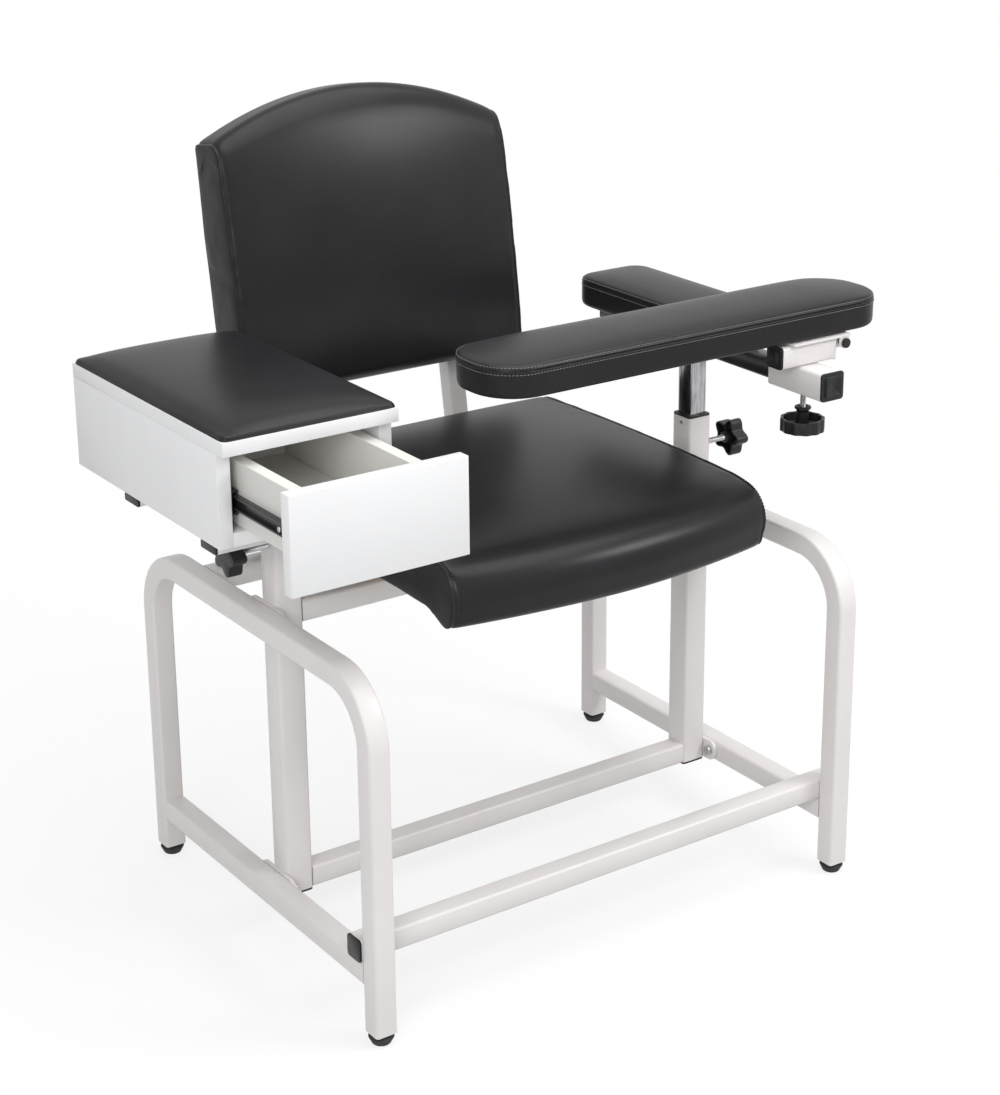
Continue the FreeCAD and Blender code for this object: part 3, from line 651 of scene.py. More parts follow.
def corners(points: Iterable[Vector]) -> tuple[Vector, Vector]:
    """The box round some points.

    Args:
        points: The points.

    Returns:
        Its lowest and highest corner.
    """
    columns = list(zip(*points))
    return Vector([min(column) for column in columns]), Vector([max(column) for column in columns])


# ---------------------------------------------------------------- the chair's own frame

class ChairFrame:
    """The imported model, and the chair's own axes, in which its posts stand upright."""

    def __init__(self) -> None:
        """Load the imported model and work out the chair's axes from its slides."""
        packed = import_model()
        deselect()
        self.nodes = packed["nodes"]
        joints = {j["name"]: j for j in packed["joints"]}
        up = Vector(joints["left_height"]["axis"]).normalized()
        back = -Vector(joints["drawer_slide"]["axis"]).normalized()
        turn = axes_matrix(Vector(), back.cross(up), back)
        upright = turn.inverted()
        post_low, _ = corners(upright @ v.co for v in self.nodes["left_post"].data.vertices)
        post_corner = Vector((-349, -19, 62)) * MM
        self.place = turn @ Matrix.Translation(post_low - post_corner)
        self.inverse = self.place.inverted()

    def span(self, node: str, wanted: Test = lambda p: True) -> tuple[Vector, Vector]:
        """Lowest and highest corner of a node in the chair's own frame.

        Args:
            node: The node's name.
            wanted: Says which of its points count.

        Returns:
            The two corners.
        """
        return corners(p for p in (self.inverse @ v.co for v in self.nodes[node].data.vertices) if wanted(p))

    def body(self, node: str) -> str:
        """The body that a node rides on."""
        return self.nodes[node]["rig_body"]

    def fit(self, thing: Thing, finish: Finish, body: str, *replaced: str) -> Thing:
        """Dress a piece, make it ride and hide the CAD nodes that it stands for.

        Args:
            thing: The piece.
            finish: Its finish.
            body: The body that it rides on.
            replaced: CAD nodes that it stands for.

        Returns:
            The piece.
        """
        thing.data.materials.clear()
        thing.data.materials.append(finish.material())
        for polygon in thing.data.polygons:
            polygon.material_index = 0
        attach(thing, body)
        if replaced:
            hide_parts(*replaced)
        log.info("%s: %d faces, rides on %s", thing.name, len(thing.data.polygons), body)
        return thing

    def copy_node(self, node: str, name: str) -> Thing:
        """A merged copy of a CAD node's mesh, to be finished one by one.

        Args:
            node: The node.
            name: The copy's name.

        Returns:
            The copy.
        """
        mesh = self.nodes[node].data.copy()
        thing = bpy.data.objects.new(name, mesh)
        bpy.context.scene.collection.objects.link(thing)
        activate(thing)
        if mesh.has_custom_normals:
            bpy.ops.mesh.customdata_custom_splitnormals_clear()
        open_edit(thing)
        bpy.ops.mesh.select_all(action="SELECT")
        bpy.ops.mesh.remove_doubles(threshold=0.01 * MM)
        bpy.ops.mesh.dissolve_limited(angle_limit=math.radians(0.6))
        close_edit()
        return named(name)

    def finished_copy(self, node: str, finish: Finish, width: float, angle: float = 35.0, segments: int = 2,
                      shading: float = 40.0) -> Thing:
        """Stand a softened copy in for a rigid node.

        Args:
            node: The node.
            finish: Its finish.
            width: The edge rounding, in metres; none at 0.
            angle: Edges that turn more than this are rounded.
            segments: Steps of the rounding.
            shading: Edges that turn more than this stay sharp in shading.

        Returns:
            The piece.
        """
        thing = self.copy_node(node, node + "_finish")
        if width > 0:
            soften(thing, width, segments, angle)
        smooth(thing, shading)
        return self.fit(thing, finish, self.body(node), node)


# ---------------------------------------------------------------- bent and swept forms

class Sweep:
    """Carries a selected row or ring of edges along straight runs and bends."""

    def __init__(self, at: Vector, heading: Vector, side: Vector) -> None:
        """Start with edges already selected in edit mode.

        Args:
            at: A point on the path.
            heading: The path's direction.
            side: The direction towards which positive bends turn.
        """
        self.at = at.copy()
        self.heading = heading.normalized()
        self.side = side.normalized()

    def run_to(self, goal: Vector, parts: int = 1) -> "Sweep":
        """Go straight to a point.

        Args:
            goal: The point.
            parts: Into how many parts the run is divided.

        Returns:
            The sweep.
        """
        step = (goal - self.at) / parts
        for _ in range(parts):
            bpy.ops.mesh.extrude_region_move(TRANSFORM_OT_translate={"value": step})
        self.at = goal.copy()
        return self

    def run(self, length: float, parts: int = 1) -> "Sweep":
        """Go straight for a length."""
        return self.run_to(self.at + self.heading * length, parts)

    def bend(self, radius: float, degrees: float, steps: int) -> "Sweep":
        """Turn about a centre at one side.

        Args:
            radius: The path's radius.
            degrees: How far it turns.
            steps: Steps of the turn.

        Returns:
            The sweep.
        """
        centre = self.at + self.side * radius
        axis = self.heading.cross(self.side)
        turn = math.radians(degrees)
        bpy.ops.mesh.spin(steps=steps, angle=-turn, center=centre, axis=axis)
        spun = Matrix.Rotation(turn, 4, axis)
        self.at = centre + spun @ (self.at - centre)
        self.heading = spun @ self.heading
        self.side = spun @ self.side
        return self


def tube_start(at: Vector, heading: Vector, across: Vector, width: float, corner: float, name: str) -> Thing:
    """A rounded square ring of edges, selected in edit mode.

    Args:
        at: The ring's middle.
        heading: The tube's direction.
        across: The direction of one side of the square.
        width: The tube's width.
        corner: The radius of its corners.
        name: The object's name.

    Returns:
        The object, in edit mode.
    """
    deselect()
    bpy.ops.mesh.primitive_plane_add(size=width)
    thing = named(name)
    settle(thing, axes_matrix(at, across, heading.cross(across)))
    open_edit(thing)
    bpy.ops.mesh.select_all(action="SELECT")
    bpy.ops.mesh.bevel(offset=corner, segments=4, affect="VERTICES")
    bpy.ops.mesh.select_all(action="SELECT")
    bpy.ops.mesh.delete(type="ONLY_FACE")
    bpy.ops.mesh.select_mode(type="EDGE")
    bpy.ops.mesh.select_all(action="SELECT")
    return thing


def tube_end(thing: Thing, place: Matrix) -> None:
    """Close a swept tube's ends, leave edit mode and put the tube where it belongs.

    Args:
        thing: The tube, in edit mode.
        place: The frame in which it was swept.
    """
    bpy.ops.mesh.select_all(action="SELECT")
    bpy.ops.mesh.fill_holes(sides=0)
    close_edit()
    tidy_mesh(thing)
    settle(thing, place)
    smooth(thing, TUBE_SHADING)


# ---------------------------------------------------------------- upholstery

def swell(thing: Thing, held: Test, pressure: float, cap: float, stiff: float = 12.0, calm: int = 14) -> None:
    """Let a cover fill out like foam under it, with the held points fixed.

    Args:
        thing: The cover, closed.
        held: Says which points stay.
        pressure: The pressure inside.
        cap: The furthest that a point may move, in metres.
        stiff: How little the cover stretches.
        calm: How often the swelling is evened out between neighbours afterwards.
    """
    rest = [v.co.copy() for v in thing.data.vertices]
    group = thing.vertex_groups.new(name="held")
    group.add([v.index for v in thing.data.vertices if held(v.co)], 1.0, "REPLACE")
    activate(thing)
    modifier = thing.modifiers.new("cover", "CLOTH")
    cloth = modifier.settings
    cloth.quality = 6
    cloth.mass = 0.4
    cloth.tension_stiffness = stiff
    cloth.compression_stiffness = stiff
    cloth.shear_stiffness = stiff / 2
    cloth.bending_stiffness = 2.0
    cloth.use_pressure = True
    cloth.uniform_pressure_force = pressure
    cloth.vertex_group_mass = "held"
    cloth.effector_weights.gravity = 0.0
    modifier.collision_settings.use_collision = False
    modifier.point_cache.frame_start = 1
    modifier.point_cache.frame_end = FILL_FRAMES
    scene = bpy.context.scene
    for number in range(1, FILL_FRAMES + 1):
        scene.frame_set(number)
    bpy.ops.object.modifier_apply(modifier=modifier.name)
    scene.frame_set(1)
    thing.vertex_groups.clear()
    moves = [v.co - start for v, start in zip(thing.data.vertices, rest)]
    moves = [move * min(1.0, cap / max(move.length, 1e-9)) for move in moves]
    near: list[list[int]] = [[] for _ in moves]
    for edge in thing.data.edges:
        a, b = edge.vertices
        near[a].append(b)
        near[b].append(a)
    for _ in range(calm):
        moves = [move if held(start) or not around else
                 (move + sum((moves[number] for number in around), Vector()) / len(around)) / 2
                 for move, start, around in zip(moves, rest, near)]
    for v, start, move in zip(thing.data.vertices, rest, moves):
        v.co = start + move


def gather(thing: Thing, away: Callable[[Vector], float], depth: float, reach: float = 14 * MM,
           wave: float = 24 * MM) -> None:
    """Pull small puckers into a cover beside its seam.

    Args:
        thing: The cover.
        away: Says how far a point lies from the seam.
        depth: The puckers' depth.
        reach: How far they run from the seam.
        wave: Their usual distance.
    """
    moves = []
    for v in thing.data.vertices:
        share = math.exp(-(away(v.co) / reach) ** 2)
        moves.append(v.normal * (depth * share * noise.noise(v.co / wave)))
    for v, move in zip(thing.data.vertices, moves):
        v.co += move


def seam_path(thing: Thing, point: Vector, normal: Vector) -> list[Vector]:
    """The line in which a plane cuts an object, as points in order.

    Args:
        thing: The object.
        point: A point of the plane.
        normal: The plane's normal.

    Returns:
        The points of the longest line.
    """
    mesh = bmesh.new()
    mesh.from_mesh(thing.data)
    cut = bmesh.ops.bisect_plane(mesh, geom=mesh.verts[:] + mesh.edges[:] + mesh.faces[:], plane_co=point,
                                 plane_no=normal, dist=1e-6)["geom_cut"]
    edges = dict.fromkeys(e for e in cut if isinstance(e, bmesh.types.BMEdge))
    lines: list[list[Vector]] = []
    while edges:
        edge = next(iter(edges))
        del edges[edge]
        ends, line = [edge.verts[0], edge.verts[1]], [edge.verts[0].co.copy(), edge.verts[1].co.copy()]
        while True:
            following = next((e for e in ends[1].link_edges if e in edges), None)
            if following is None:
                break
            del edges[following]
            ends[1] = following.other_vert(ends[1])
            line.append(ends[1].co.copy())
        lines.append(line)
    mesh.free()
    return max(lines, key=lambda line: sum((b - a).length for a, b in zip(line, line[1:])))


@dataclass
class Stitching:
    """Rows of thread laid on a cover."""

    length: float = 3.4 * MM
    pitch: float = 4.6 * MM
    thread: float = 0.5 * MM

    def template(self) -> bpy.types.Mesh:
        """Model one stitch, to be copied along every row.

        Returns:
            Its mesh, lying along X.
        """
        deselect()
        bpy.ops.mesh.primitive_uv_sphere_add(segments=8, ring_count=6, radius=1.0)
        thing = named("stitch")
        open_edit(thing)
        pick(thing, lambda p: abs(p.z) > 0.4)
        bpy.ops.transform.resize(value=(0.9, 0.9, 1.0))
        close_edit()
        settle(thing, Matrix.Diagonal((self.length / 2, self.thread, self.thread, 1)) @
               Matrix.Rotation(math.radians(90), 4, "Y"))
        mesh = thing.data.copy()
        bpy.data.objects.remove(thing)
        return mesh

    def rows(self, cover: Thing, planes: Iterable[tuple[Vector, Vector]], name: str,
             keep: Test = lambda p: True) -> Thing:
        """Lay a row of stitches where each plane cuts the cover.

        Args:
            cover: The finished cover.
            planes: Points and normals.
            name: The piece's name.
            keep: Says of a place whether a stitch shows there.

        Returns:
            The stitches as one object.
        """
        template = self.template()
        surface = bmesh.new()
        surface.from_mesh(cover.data)
        tree = BVHTree.FromBMesh(surface)
        result = bmesh.new()
        for point, normal in planes:
            line = seam_path(cover, point, normal)
            carry = 0.0
            for a, b in zip(line, line[1:]):
                length = (b - a).length
                if length < 1e-7:
                    continue
                along = (b - a) / length
                while carry < length:
                    spot = a + along * carry
                    carry += self.pitch
                    if not keep(spot):
                        continue
                    near, out, _, _ = tree.find_nearest(spot)
                    if near is None:
                        continue
                    side = out.cross(along).normalized()
                    place = axes_matrix(near + out * self.thread * 0.35, along, side)
                    start = len(result.verts)
                    result.from_mesh(template)
                    result.verts.ensure_lookup_table()
                    for v in result.verts[start:]:
                        v.co = place @ v.co
                carry -= length
        mesh = bpy.data.meshes.new(name)
        result.to_mesh(mesh)
        for polygon in mesh.polygons:
            polygon.use_smooth = True
        result.free()
        surface.free()
        bpy.data.meshes.remove(template)
        thing = bpy.data.objects.new(name, mesh)
        bpy.context.scene.collection.objects.link(thing)
        return thing


# how foam eases into a rolled edge: radius over the roll's own, degrees, steps
NOSE_STAGES = ((5.0, 8.0, 2), (2.2, 16.0, 3))


@dataclass
class WrapCushion:
    """A cushion whose one panel runs over its top and round its front, with a panel sewn in at each side.

    It is made lying on its base: X across, Y towards the rear, Z up, and its front edge bows forward.
    """

    name: str
    width: float
    length: float
    thick: float
    bow: float
    crown: float
    nose_round: float
    rear_round: float = 12 * MM
    base_round: float = 6 * MM
    nose_drop: float = 0.0
    nose_return: float = 40 * MM
    nose_slope: float = 6.0
    lip: float = 6 * MM
    seam_inset: float = 6 * MM
    puff: float = 3.0
    cap: float = 6 * MM
    calm: int = 20
    pucker: float = 0.8 * MM
    strips: int = 26

    @property
    def nose_reach(self) -> float:
        """Add up the stages of the roll.

        Returns:
            How far behind the front edge the roll begins.
        """
        reach, turned_so_far = 0.0, 0.0
        for wider, degrees, _ in (*NOSE_STAGES, (1.0, 90 - sum(stage[1] for stage in NOSE_STAGES), 0)):
            before, turned_so_far = math.radians(turned_so_far), turned_so_far + degrees
            reach += wider * (math.sin(math.radians(turned_so_far)) - math.sin(before))
        return reach * self.nose_round

    def build(self) -> Thing:
        """Model the cushion in its own frame.

        Returns:
            The cushion, with its front edge at Y = 0 at the sides.
        """
        half = self.width / 2
        deselect()
        bpy.ops.mesh.primitive_grid_add(x_subdivisions=24, y_subdivisions=1, size=1)
        thing = named(self.name)
        corner = Vector((0, self.nose_return, 0))
        base_run = self.length - self.base_round - self.nose_return
        settle(thing, Matrix.Translation((0, self.nose_return + base_run / 2, 0)) @
               Matrix.Diagonal((self.width, base_run, 1, 1)))
        open_edit(thing, "EDGE")
        start = Vector((0, self.length - self.base_round, 0))
        pick(thing, lambda p: p.y > start.y - MM, "EDGE")
        sweep = Sweep(start, Y, Z)
        sweep.bend(self.base_round, 90, 3)
        sweep.run(self.thick - self.base_round - self.rear_round, 4)
        sweep.bend(self.rear_round, 90, 5)
        sweep.run(sweep.at.y - self.nose_reach, self.strips)
        for wider, degrees, steps in NOSE_STAGES:
            sweep.bend(self.nose_round * wider, degrees, steps)
        sweep.bend(self.nose_round, 90 - sum(stage[1] for stage in NOSE_STAGES) + self.nose_slope, 8)
        lip = self.lip
        fall = (sweep.at.z + self.nose_drop - lip) / math.cos(math.radians(self.nose_slope))
        if fall > MM:
            sweep.run(fall, max(1, round(fall / (12 * MM))))
        rise = math.degrees(math.atan2(self.nose_drop, corner.y - sweep.at.y))
        sweep.bend(lip, 90 - self.nose_slope + rise, 5)
        sweep.run_to(corner, 3)
        close_edit()
        tidy_mesh(thing, 0.0003)
        open_edit(thing)
        bpy.ops.mesh.select_all(action="SELECT")
        bpy.ops.mesh.fill_holes(sides=0)
        self.divide_panels(thing)
        bpy.ops.mesh.select_all(action="SELECT")
        bpy.ops.mesh.normals_make_consistent(inside=False)
        close_edit()
        self.shape(thing)
        base_front = self.nose_return if self.nose_drop else -self.bow
        swell(thing, lambda p: p.z < 1.5 * MM and p.y > base_front - MM or abs(p.x) > half - MM and not
              self.on_panel(p), self.puff, self.cap, calm=self.calm)
        self.sew(thing)
        apply_modifier(thing, "SUBSURF", levels=2, render_levels=2)
        gather(thing, lambda p: abs(abs(p.x) - half + self.seam_inset), self.pucker)
        smooth(thing, 60)
        return thing

    def divide_panels(self, thing: Thing) -> None:
        """Cut each side panel into small faces, so that it can bulge.

        Args:
            thing: The cushion, in edit mode.
        """
        half = self.width / 2
        first, last = self.nose_round, self.length - self.rear_round
        for number in range(self.strips + 1):
            place = first + (last - first) * number / self.strips
            for side in (-1, 1):
                pick_facing(thing, X * side)
                bpy.ops.mesh.bisect(plane_co=(0, place, 0), plane_no=Y)
        edges = bmesh.from_edit_mesh(thing.data).edges
        bpy.ops.mesh.select_all(action="DESELECT")
        for e in edges:
            a, b = e.verts
            if abs(a.co.y - b.co.y) < 1e-5 and abs(a.co.z - b.co.z) > self.thick / 2 and abs(a.co.x) > half - 1e-5:
                e.select_set(True)
        bmesh.update_edit_mesh(thing.data)
        bpy.ops.mesh.subdivide(number_cuts=5)

    def on_panel(self, p: Vector) -> bool:
        """Whether a point's height and depth lie well inside a side panel.

        Args:
            p: The point.

        Returns:
            Whether it does.
        """
        edge = 4 * MM
        return edge < p.z < self.thick - edge and self.nose_reach - edge < p.y < self.length - self.rear_round + edge

    def shape(self, thing: Thing) -> None:
        """Raise the crown, with its slopes carried on into the rounded ends, and bow the front edge forward.

        Args:
            thing: The flat cushion.
        """
        half = self.width / 2
        reach = self.length * 0.75
        run = self.length - self.nose_reach - self.rear_round
        for v in thing.data.vertices:
            middle = 1 - (v.co.x / half) ** 2
            along = min(1.0, max(0.0, (v.co.y - self.nose_reach) / run))
            rise = 4 * self.crown * along * (1 - along)
            for share, place, radius in ((1 - along, v.co.y, self.nose_reach),
                                         (along, self.length - v.co.y, self.rear_round)):
                rise += 2 * self.crown / run * share * min(max(0.0, place), radius) ** 2 / radius
            v.co.z += rise * (0.25 + 0.75 * middle) * (max(0.0, v.co.z) / self.thick) ** 2
            if v.co.y < reach:
                share = 1 - v.co.y / reach
                v.co.y -= self.bow * middle * share * share * (3 - 2 * share)

    def sew(self, thing: Thing) -> None:
        """Sink a seam near each side and round the side's edge.

        Args:
            thing: The filled cushion.
        """
        half = self.width / 2
        open_edit(thing)
        for side in (-1, 1):
            for inset in (0.6, 1.0, 1.4):
                bpy.ops.mesh.select_all(action="SELECT")
                bpy.ops.mesh.bisect(plane_co=X * side * (half - self.seam_inset * inset), plane_no=X)
        bpy.ops.mesh.select_all(action="DESELECT")
        for side in (-1, 1):
            mid = side * (half - self.seam_inset)
            pick(thing, lambda p: abs(p.x - mid) < 0.1 * MM)
            bpy.ops.transform.shrink_fatten(value=-SEAM_DEPTH)
            pick(thing, lambda p: abs(p.x - side * half) < 1.2 * MM and not self.on_panel(p))
            bpy.ops.transform.shrink_fatten(value=-1.5 * MM)
        close_edit()


@dataclass
class BandCushion:
    """A pad with a band round its side and a panel sewn in on top.

    It is made on its base: X and Y across, Z up, its middle at the origin.
    """

    name: str
    width: float
    length: float
    corner: float
    band: float
    crown: float
    edge: float
    fullness: float = 0.5
    flatness: float = 2.0
    tuck: float = 3 * MM
    puff: float = 1.5
    cap: float = 2.5 * MM
    seam: bool = True

    def build(self) -> Thing:
        """Model the pad in its own frame.

        Returns:
            The pad, standing on Z = 0.
        """
        step = 13 * MM
        wide, long = self.width - 2 * self.edge, self.length - 2 * self.edge
        deselect()
        bpy.ops.mesh.primitive_grid_add(x_subdivisions=round(wide / step), y_subdivisions=round(long / step), size=1)
        thing = named(self.name)
        settle(thing, Matrix.Translation((0, 0, self.band + self.edge)) @ Matrix.Diagonal((wide, long, 1, 1)))
        self.shape(thing, wide / 2, long / 2, self.corner - self.edge)
        open_edit(thing, "EDGE")
        bpy.ops.mesh.select_all(action="SELECT")
        bpy.ops.mesh.region_to_loop()
        steps = 4
        for number in range(steps):
            a, b = (math.radians(90 * n / steps) for n in (number, number + 1))
            self.ring(self.edge * (math.cos(b) - math.cos(a)), self.edge * (math.sin(b) - math.sin(a)))
        for _ in range(4):
            self.ring((self.tuck - self.band) / 4, 0)
        self.ring(-0.65 * self.tuck, -0.3 * self.tuck)
        self.ring(-0.35 * self.tuck, -0.7 * self.tuck)
        bpy.ops.mesh.edge_face_add()
        bpy.ops.mesh.select_all(action="SELECT")
        bpy.ops.mesh.normals_make_consistent(inside=False)
        close_edit()
        seam_height = self.band
        swell(thing, lambda p: p.z < 0.5 * MM or self.seam and abs(p.z - seam_height) < 0.5 * MM, self.puff, self.cap)
        if self.seam:
            self.sew(thing)
        apply_modifier(thing, "SUBSURF", levels=2, render_levels=2)
        smooth(thing, 60)
        return thing

    def shape(self, thing: Thing, half_wide: float, half_long: float, corner: float) -> None:
        """Round the grid's corners and raise its crown.

        Args:
            thing: The flat grid.
            half_wide: Half its size along X.
            half_long: Half its size along Y.
            corner: Its corners' radius.
        """
        for v in thing.data.vertices:
            u, w = ((abs(v.co[i]) - half + corner) / corner for i, half in ((0, half_wide), (1, half_long)))
            if u > 0 and w > 0:
                v.co.x -= math.copysign(corner * u * (1 - math.sqrt(1 - w * w / 2)), v.co.x)
                v.co.y -= math.copysign(corner * w * (1 - math.sqrt(1 - u * u / 2)), v.co.y)
            across = max(0.0, 1 - abs(v.co.x / half_wide) ** self.flatness)
            along = max(0.0, 1 - abs(v.co.y / half_long) ** self.flatness)
            v.co.z += self.crown * (across * along) ** self.fullness

    def ring(self, rise: float, grow: float) -> None:
        """Carry the selected outline up and in or out by equal amounts on every side.

        Args:
            rise: How far up.
            grow: How far outwards.
        """
        bpy.ops.mesh.extrude_region_move(TRANSFORM_OT_translate={"value": (0, 0, rise)})
        if grow:
            mesh = bmesh.from_edit_mesh(bpy.context.active_object.data)
            chosen = [v.co for v in mesh.verts if v.select]
            wide, long = max(p.x for p in chosen), max(p.y for p in chosen)
            bpy.ops.transform.resize(value=((wide + grow) / wide, (long + grow) / long, 1),
                                     center_override=(0, 0, 0))

    def sew(self, thing: Thing) -> None:
        """Sink the seam between band and top panel.

        Args:
            thing: The filled pad.
        """
        open_edit(thing)
        for shift in (-2.2 * MM, -1.0 * MM, 1.0 * MM, 2.2 * MM):
            bpy.ops.mesh.select_all(action="SELECT")
            bpy.ops.mesh.bisect(plane_co=Z * (self.band + shift), plane_no=Z)
        pick(thing, lambda p: abs(p.z - self.band) < 0.2 * MM)
        bpy.ops.transform.shrink_fatten(value=-SEAM_DEPTH)
        close_edit()


@dataclass
class Upholstery:
    """The seat, the back, the lid's pad and the two arm pads."""

    chair: ChairFrame
    stitching: Stitching = field(default_factory=Stitching)
    seat_bow: float = 38 * MM
    seat_crown: float = 12 * MM
    seat_roll: float = 40 * MM
    back_width: float = 458 * MM
    back_height: float = 347 * MM
    back_thick: float = 68.5 * MM
    back_crown: float = 14 * MM
    back_arch: float = 60 * MM
    back_foot: tuple[float, float] = (250 * MM, 643 * MM)
    front_pad_corner: float = 57 * MM
    rear_pad_corner: float = 32 * MM
    pad_edge: float = 7 * MM
    pad_crown: float = 4 * MM
    pad_lift: float = 0.8 * MM

    def build(self) -> None:
        """Make every cushion with its stitching."""
        self.seat()
        self.back()
        self.lid_pad()
        self.arm_pad("front_arm_pad", self.front_pad_corner)
        self.arm_pad("rear_arm_pad", self.rear_pad_corner)

    def place_cushion(self, thing: Thing, threads: Sequence[Thing], place: Matrix, node: str,
                      thread: Finish = Finish.THREAD) -> None:
        """Put a cushion and its threads where their node is.

        Args:
            thing: The cushion, in its own frame.
            threads: Its stitches.
            place: Its place in the chair's frame.
            node: The node that it stands for.
            thread: The stitches' finish.
        """
        whole = self.chair.place @ place
        for piece in (thing, *threads):
            settle(piece, whole)
        self.chair.fit(thing, Finish.VINYL, self.chair.body(node), node)
        for piece in threads:
            self.chair.fit(piece, thread, self.chair.body(node))

    def side_rows(self, thing: Thing, cushion: WrapCushion, name: str) -> Thing:
        """Two rows of stitches beside each side seam of a wrapped cushion.

        Args:
            thing: The finished cushion.
            cushion: Its sizes.
            name: The stitches' name.

        Returns:
            The stitches.
        """
        half = cushion.width / 2
        planes = [(X * side * (half - cushion.seam_inset + shift), X) for side in (-1, 1)
                  for shift in (-3.0 * MM, 3.0 * MM)]
        return self.stitching.rows(thing, planes, name, lambda p: p.z > 4 * MM)

    def seat(self) -> None:
        """The seat, with its rounded front edge bowed forward."""
        low, high = self.chair.span("seat_cushion")
        base = self.chair.span("seat_board")[1].z
        front = low.y + self.seat_bow
        puffed = 3 * MM
        cushion = WrapCushion("seat_cover", high.x - low.x, high.y - front, high.z - base - self.seat_crown - puffed,
                              self.seat_bow, self.seat_crown, self.seat_roll, 14 * MM,
                              nose_drop=base - low.z - 2 * MM, nose_return=62 * MM, nose_slope=12.0, lip=15 * MM)
        thing = cushion.build()
        place = Matrix.Translation((0, front, base))
        self.place_cushion(thing, [self.side_rows(thing, cushion, "seat_stitching")], place, "seat_cushion",
                           Finish.DARK_THREAD)

    def back(self) -> None:
        """The backrest: the same kind of cushion stood on end, its arched top the bowed edge."""
        lean = math.radians(BACK_LEAN)
        up = Vector((0, math.sin(lean), math.cos(lean)))
        front = Vector((0, -math.cos(lean), math.sin(lean)))
        cushion = WrapCushion("back_cover", self.back_width, self.back_height, self.back_thick, self.back_arch,
                              self.back_crown, 25 * MM, 16 * MM, 6 * MM, nose_return=12 * MM, nose_slope=0.0,
                              lip=8 * MM, puff=2.0)
        thing = cushion.build()
        foot = Vector((0, *self.back_foot)) - front * (self.back_thick + self.back_crown)
        place = axes_matrix(foot + up * self.back_height, -X, -up)
        self.place_cushion(thing, [], place, "back_cushion")

    def lid_pad(self) -> None:
        """The thin pad on the cabinet's lid, pillowed, without a seam, and flush with the lid's edges."""
        low, high = self.chair.span("lid_pad")
        lid_low, lid_high = self.chair.span("cabinet_lid")
        size = Vector((*(lid_high - lid_low).xy, high.z - low.z))
        edge, band, puffed = 3 * MM, 3 * MM, 2 * MM
        pad = BandCushion("lid_cover", size.x - MM, size.y - MM, 4.5 * MM, band, size.z - band - edge - puffed, edge,
                          0.36, 2.2, 0.5 * MM, puff=1.5, cap=3 * MM, seam=False)
        thing = pad.build()
        middle = (low + high) / 2
        self.place_cushion(thing, [], Matrix.Translation((middle.x, middle.y, low.z)), "lid_pad")

    def arm_pad(self, node: str, corner: float) -> None:
        """One arm pad with its double-stitched top edge, its underside just above its board's.

        Args:
            node: The pad's node.
            corner: The radius of its corners.
        """
        low, high = self.chair.span(node)
        size = high - low
        band = size.z - self.pad_edge - self.pad_crown - self.pad_lift - MM
        pad = BandCushion(node + "_cover", size.x, size.y, corner, band, self.pad_crown, self.pad_edge, tuck=6 * MM)
        thing = pad.build()
        middle = (low + high) / 2
        planes = [(Z * (pad.band + shift), Z) for shift in (-4.2 * MM, 4.0 * MM)]
        rows = self.stitching.rows(thing, planes, node + "_stitching")
        self.place_cushion(thing, [rows], Matrix.Translation((middle.x, middle.y, low.z + self.pad_lift)), node)


# ---------------------------------------------------------------- frame of bent tube

def drill(thing: Thing, place: Matrix, at: Vector, axis: Vector, radius: float, depth: float) -> None:
    """Drill a round hole into a piece.

    Args:
        thing: The piece.
        place: The frame in which the hole is given.
        at: The hole's mouth.
        axis: The direction in which it goes in.
        radius: Its radius.
        depth: Its depth.
    """
    deselect()
    bpy.ops.mesh.primitive_cylinder_add(vertices=24, radius=radius, depth=2 * depth)
    bit = named("bit")
    across = Z if abs(axis.z) < 0.9 else X
    settle(bit, place @ axes_matrix(at, across, axis.cross(across)))
    apply_modifier(thing, "BOOLEAN", object=bit, operation="DIFFERENCE")
    bpy.data.objects.remove(bit)


def cap_plate(at: Vector, outward: Vector, width: float, rise: float, name: str) -> Thing:
    """The raised square in the middle of a moulded cap.

    Args:
        at: The middle of the cap's face.
        outward: The direction it looks in.
        width: The square's width.
        rise: How far it stands out.
        name: The object's name.

    Returns:
        The plate.
    """
    deselect()
    bpy.ops.mesh.primitive_plane_add(size=width)
    thing = named(name)
    open_edit(thing, "FACE")
    bpy.ops.mesh.select_all(action="SELECT")
    bpy.ops.mesh.bevel(offset=2 * MM, segments=3, affect="VERTICES")
    bpy.ops.mesh.select_all(action="SELECT")
    bpy.ops.mesh.extrude_region_move(TRANSFORM_OT_translate={"value": (0, 0, rise)})
    bpy.ops.mesh.inset(thickness=1.2 * MM, depth=0)
    bpy.ops.mesh.inset(thickness=0.8 * MM, depth=-rise * 0.6)
    bpy.ops.mesh.select_all(action="SELECT")
    bpy.ops.mesh.normals_make_consistent(inside=False)
    close_edit()
    soften(thing, 0.25 * MM, 2)
    across = Z if abs(outward.z) < 0.9 else X
    settle(thing, axes_matrix(at, across, outward.cross(across)))
    return thing


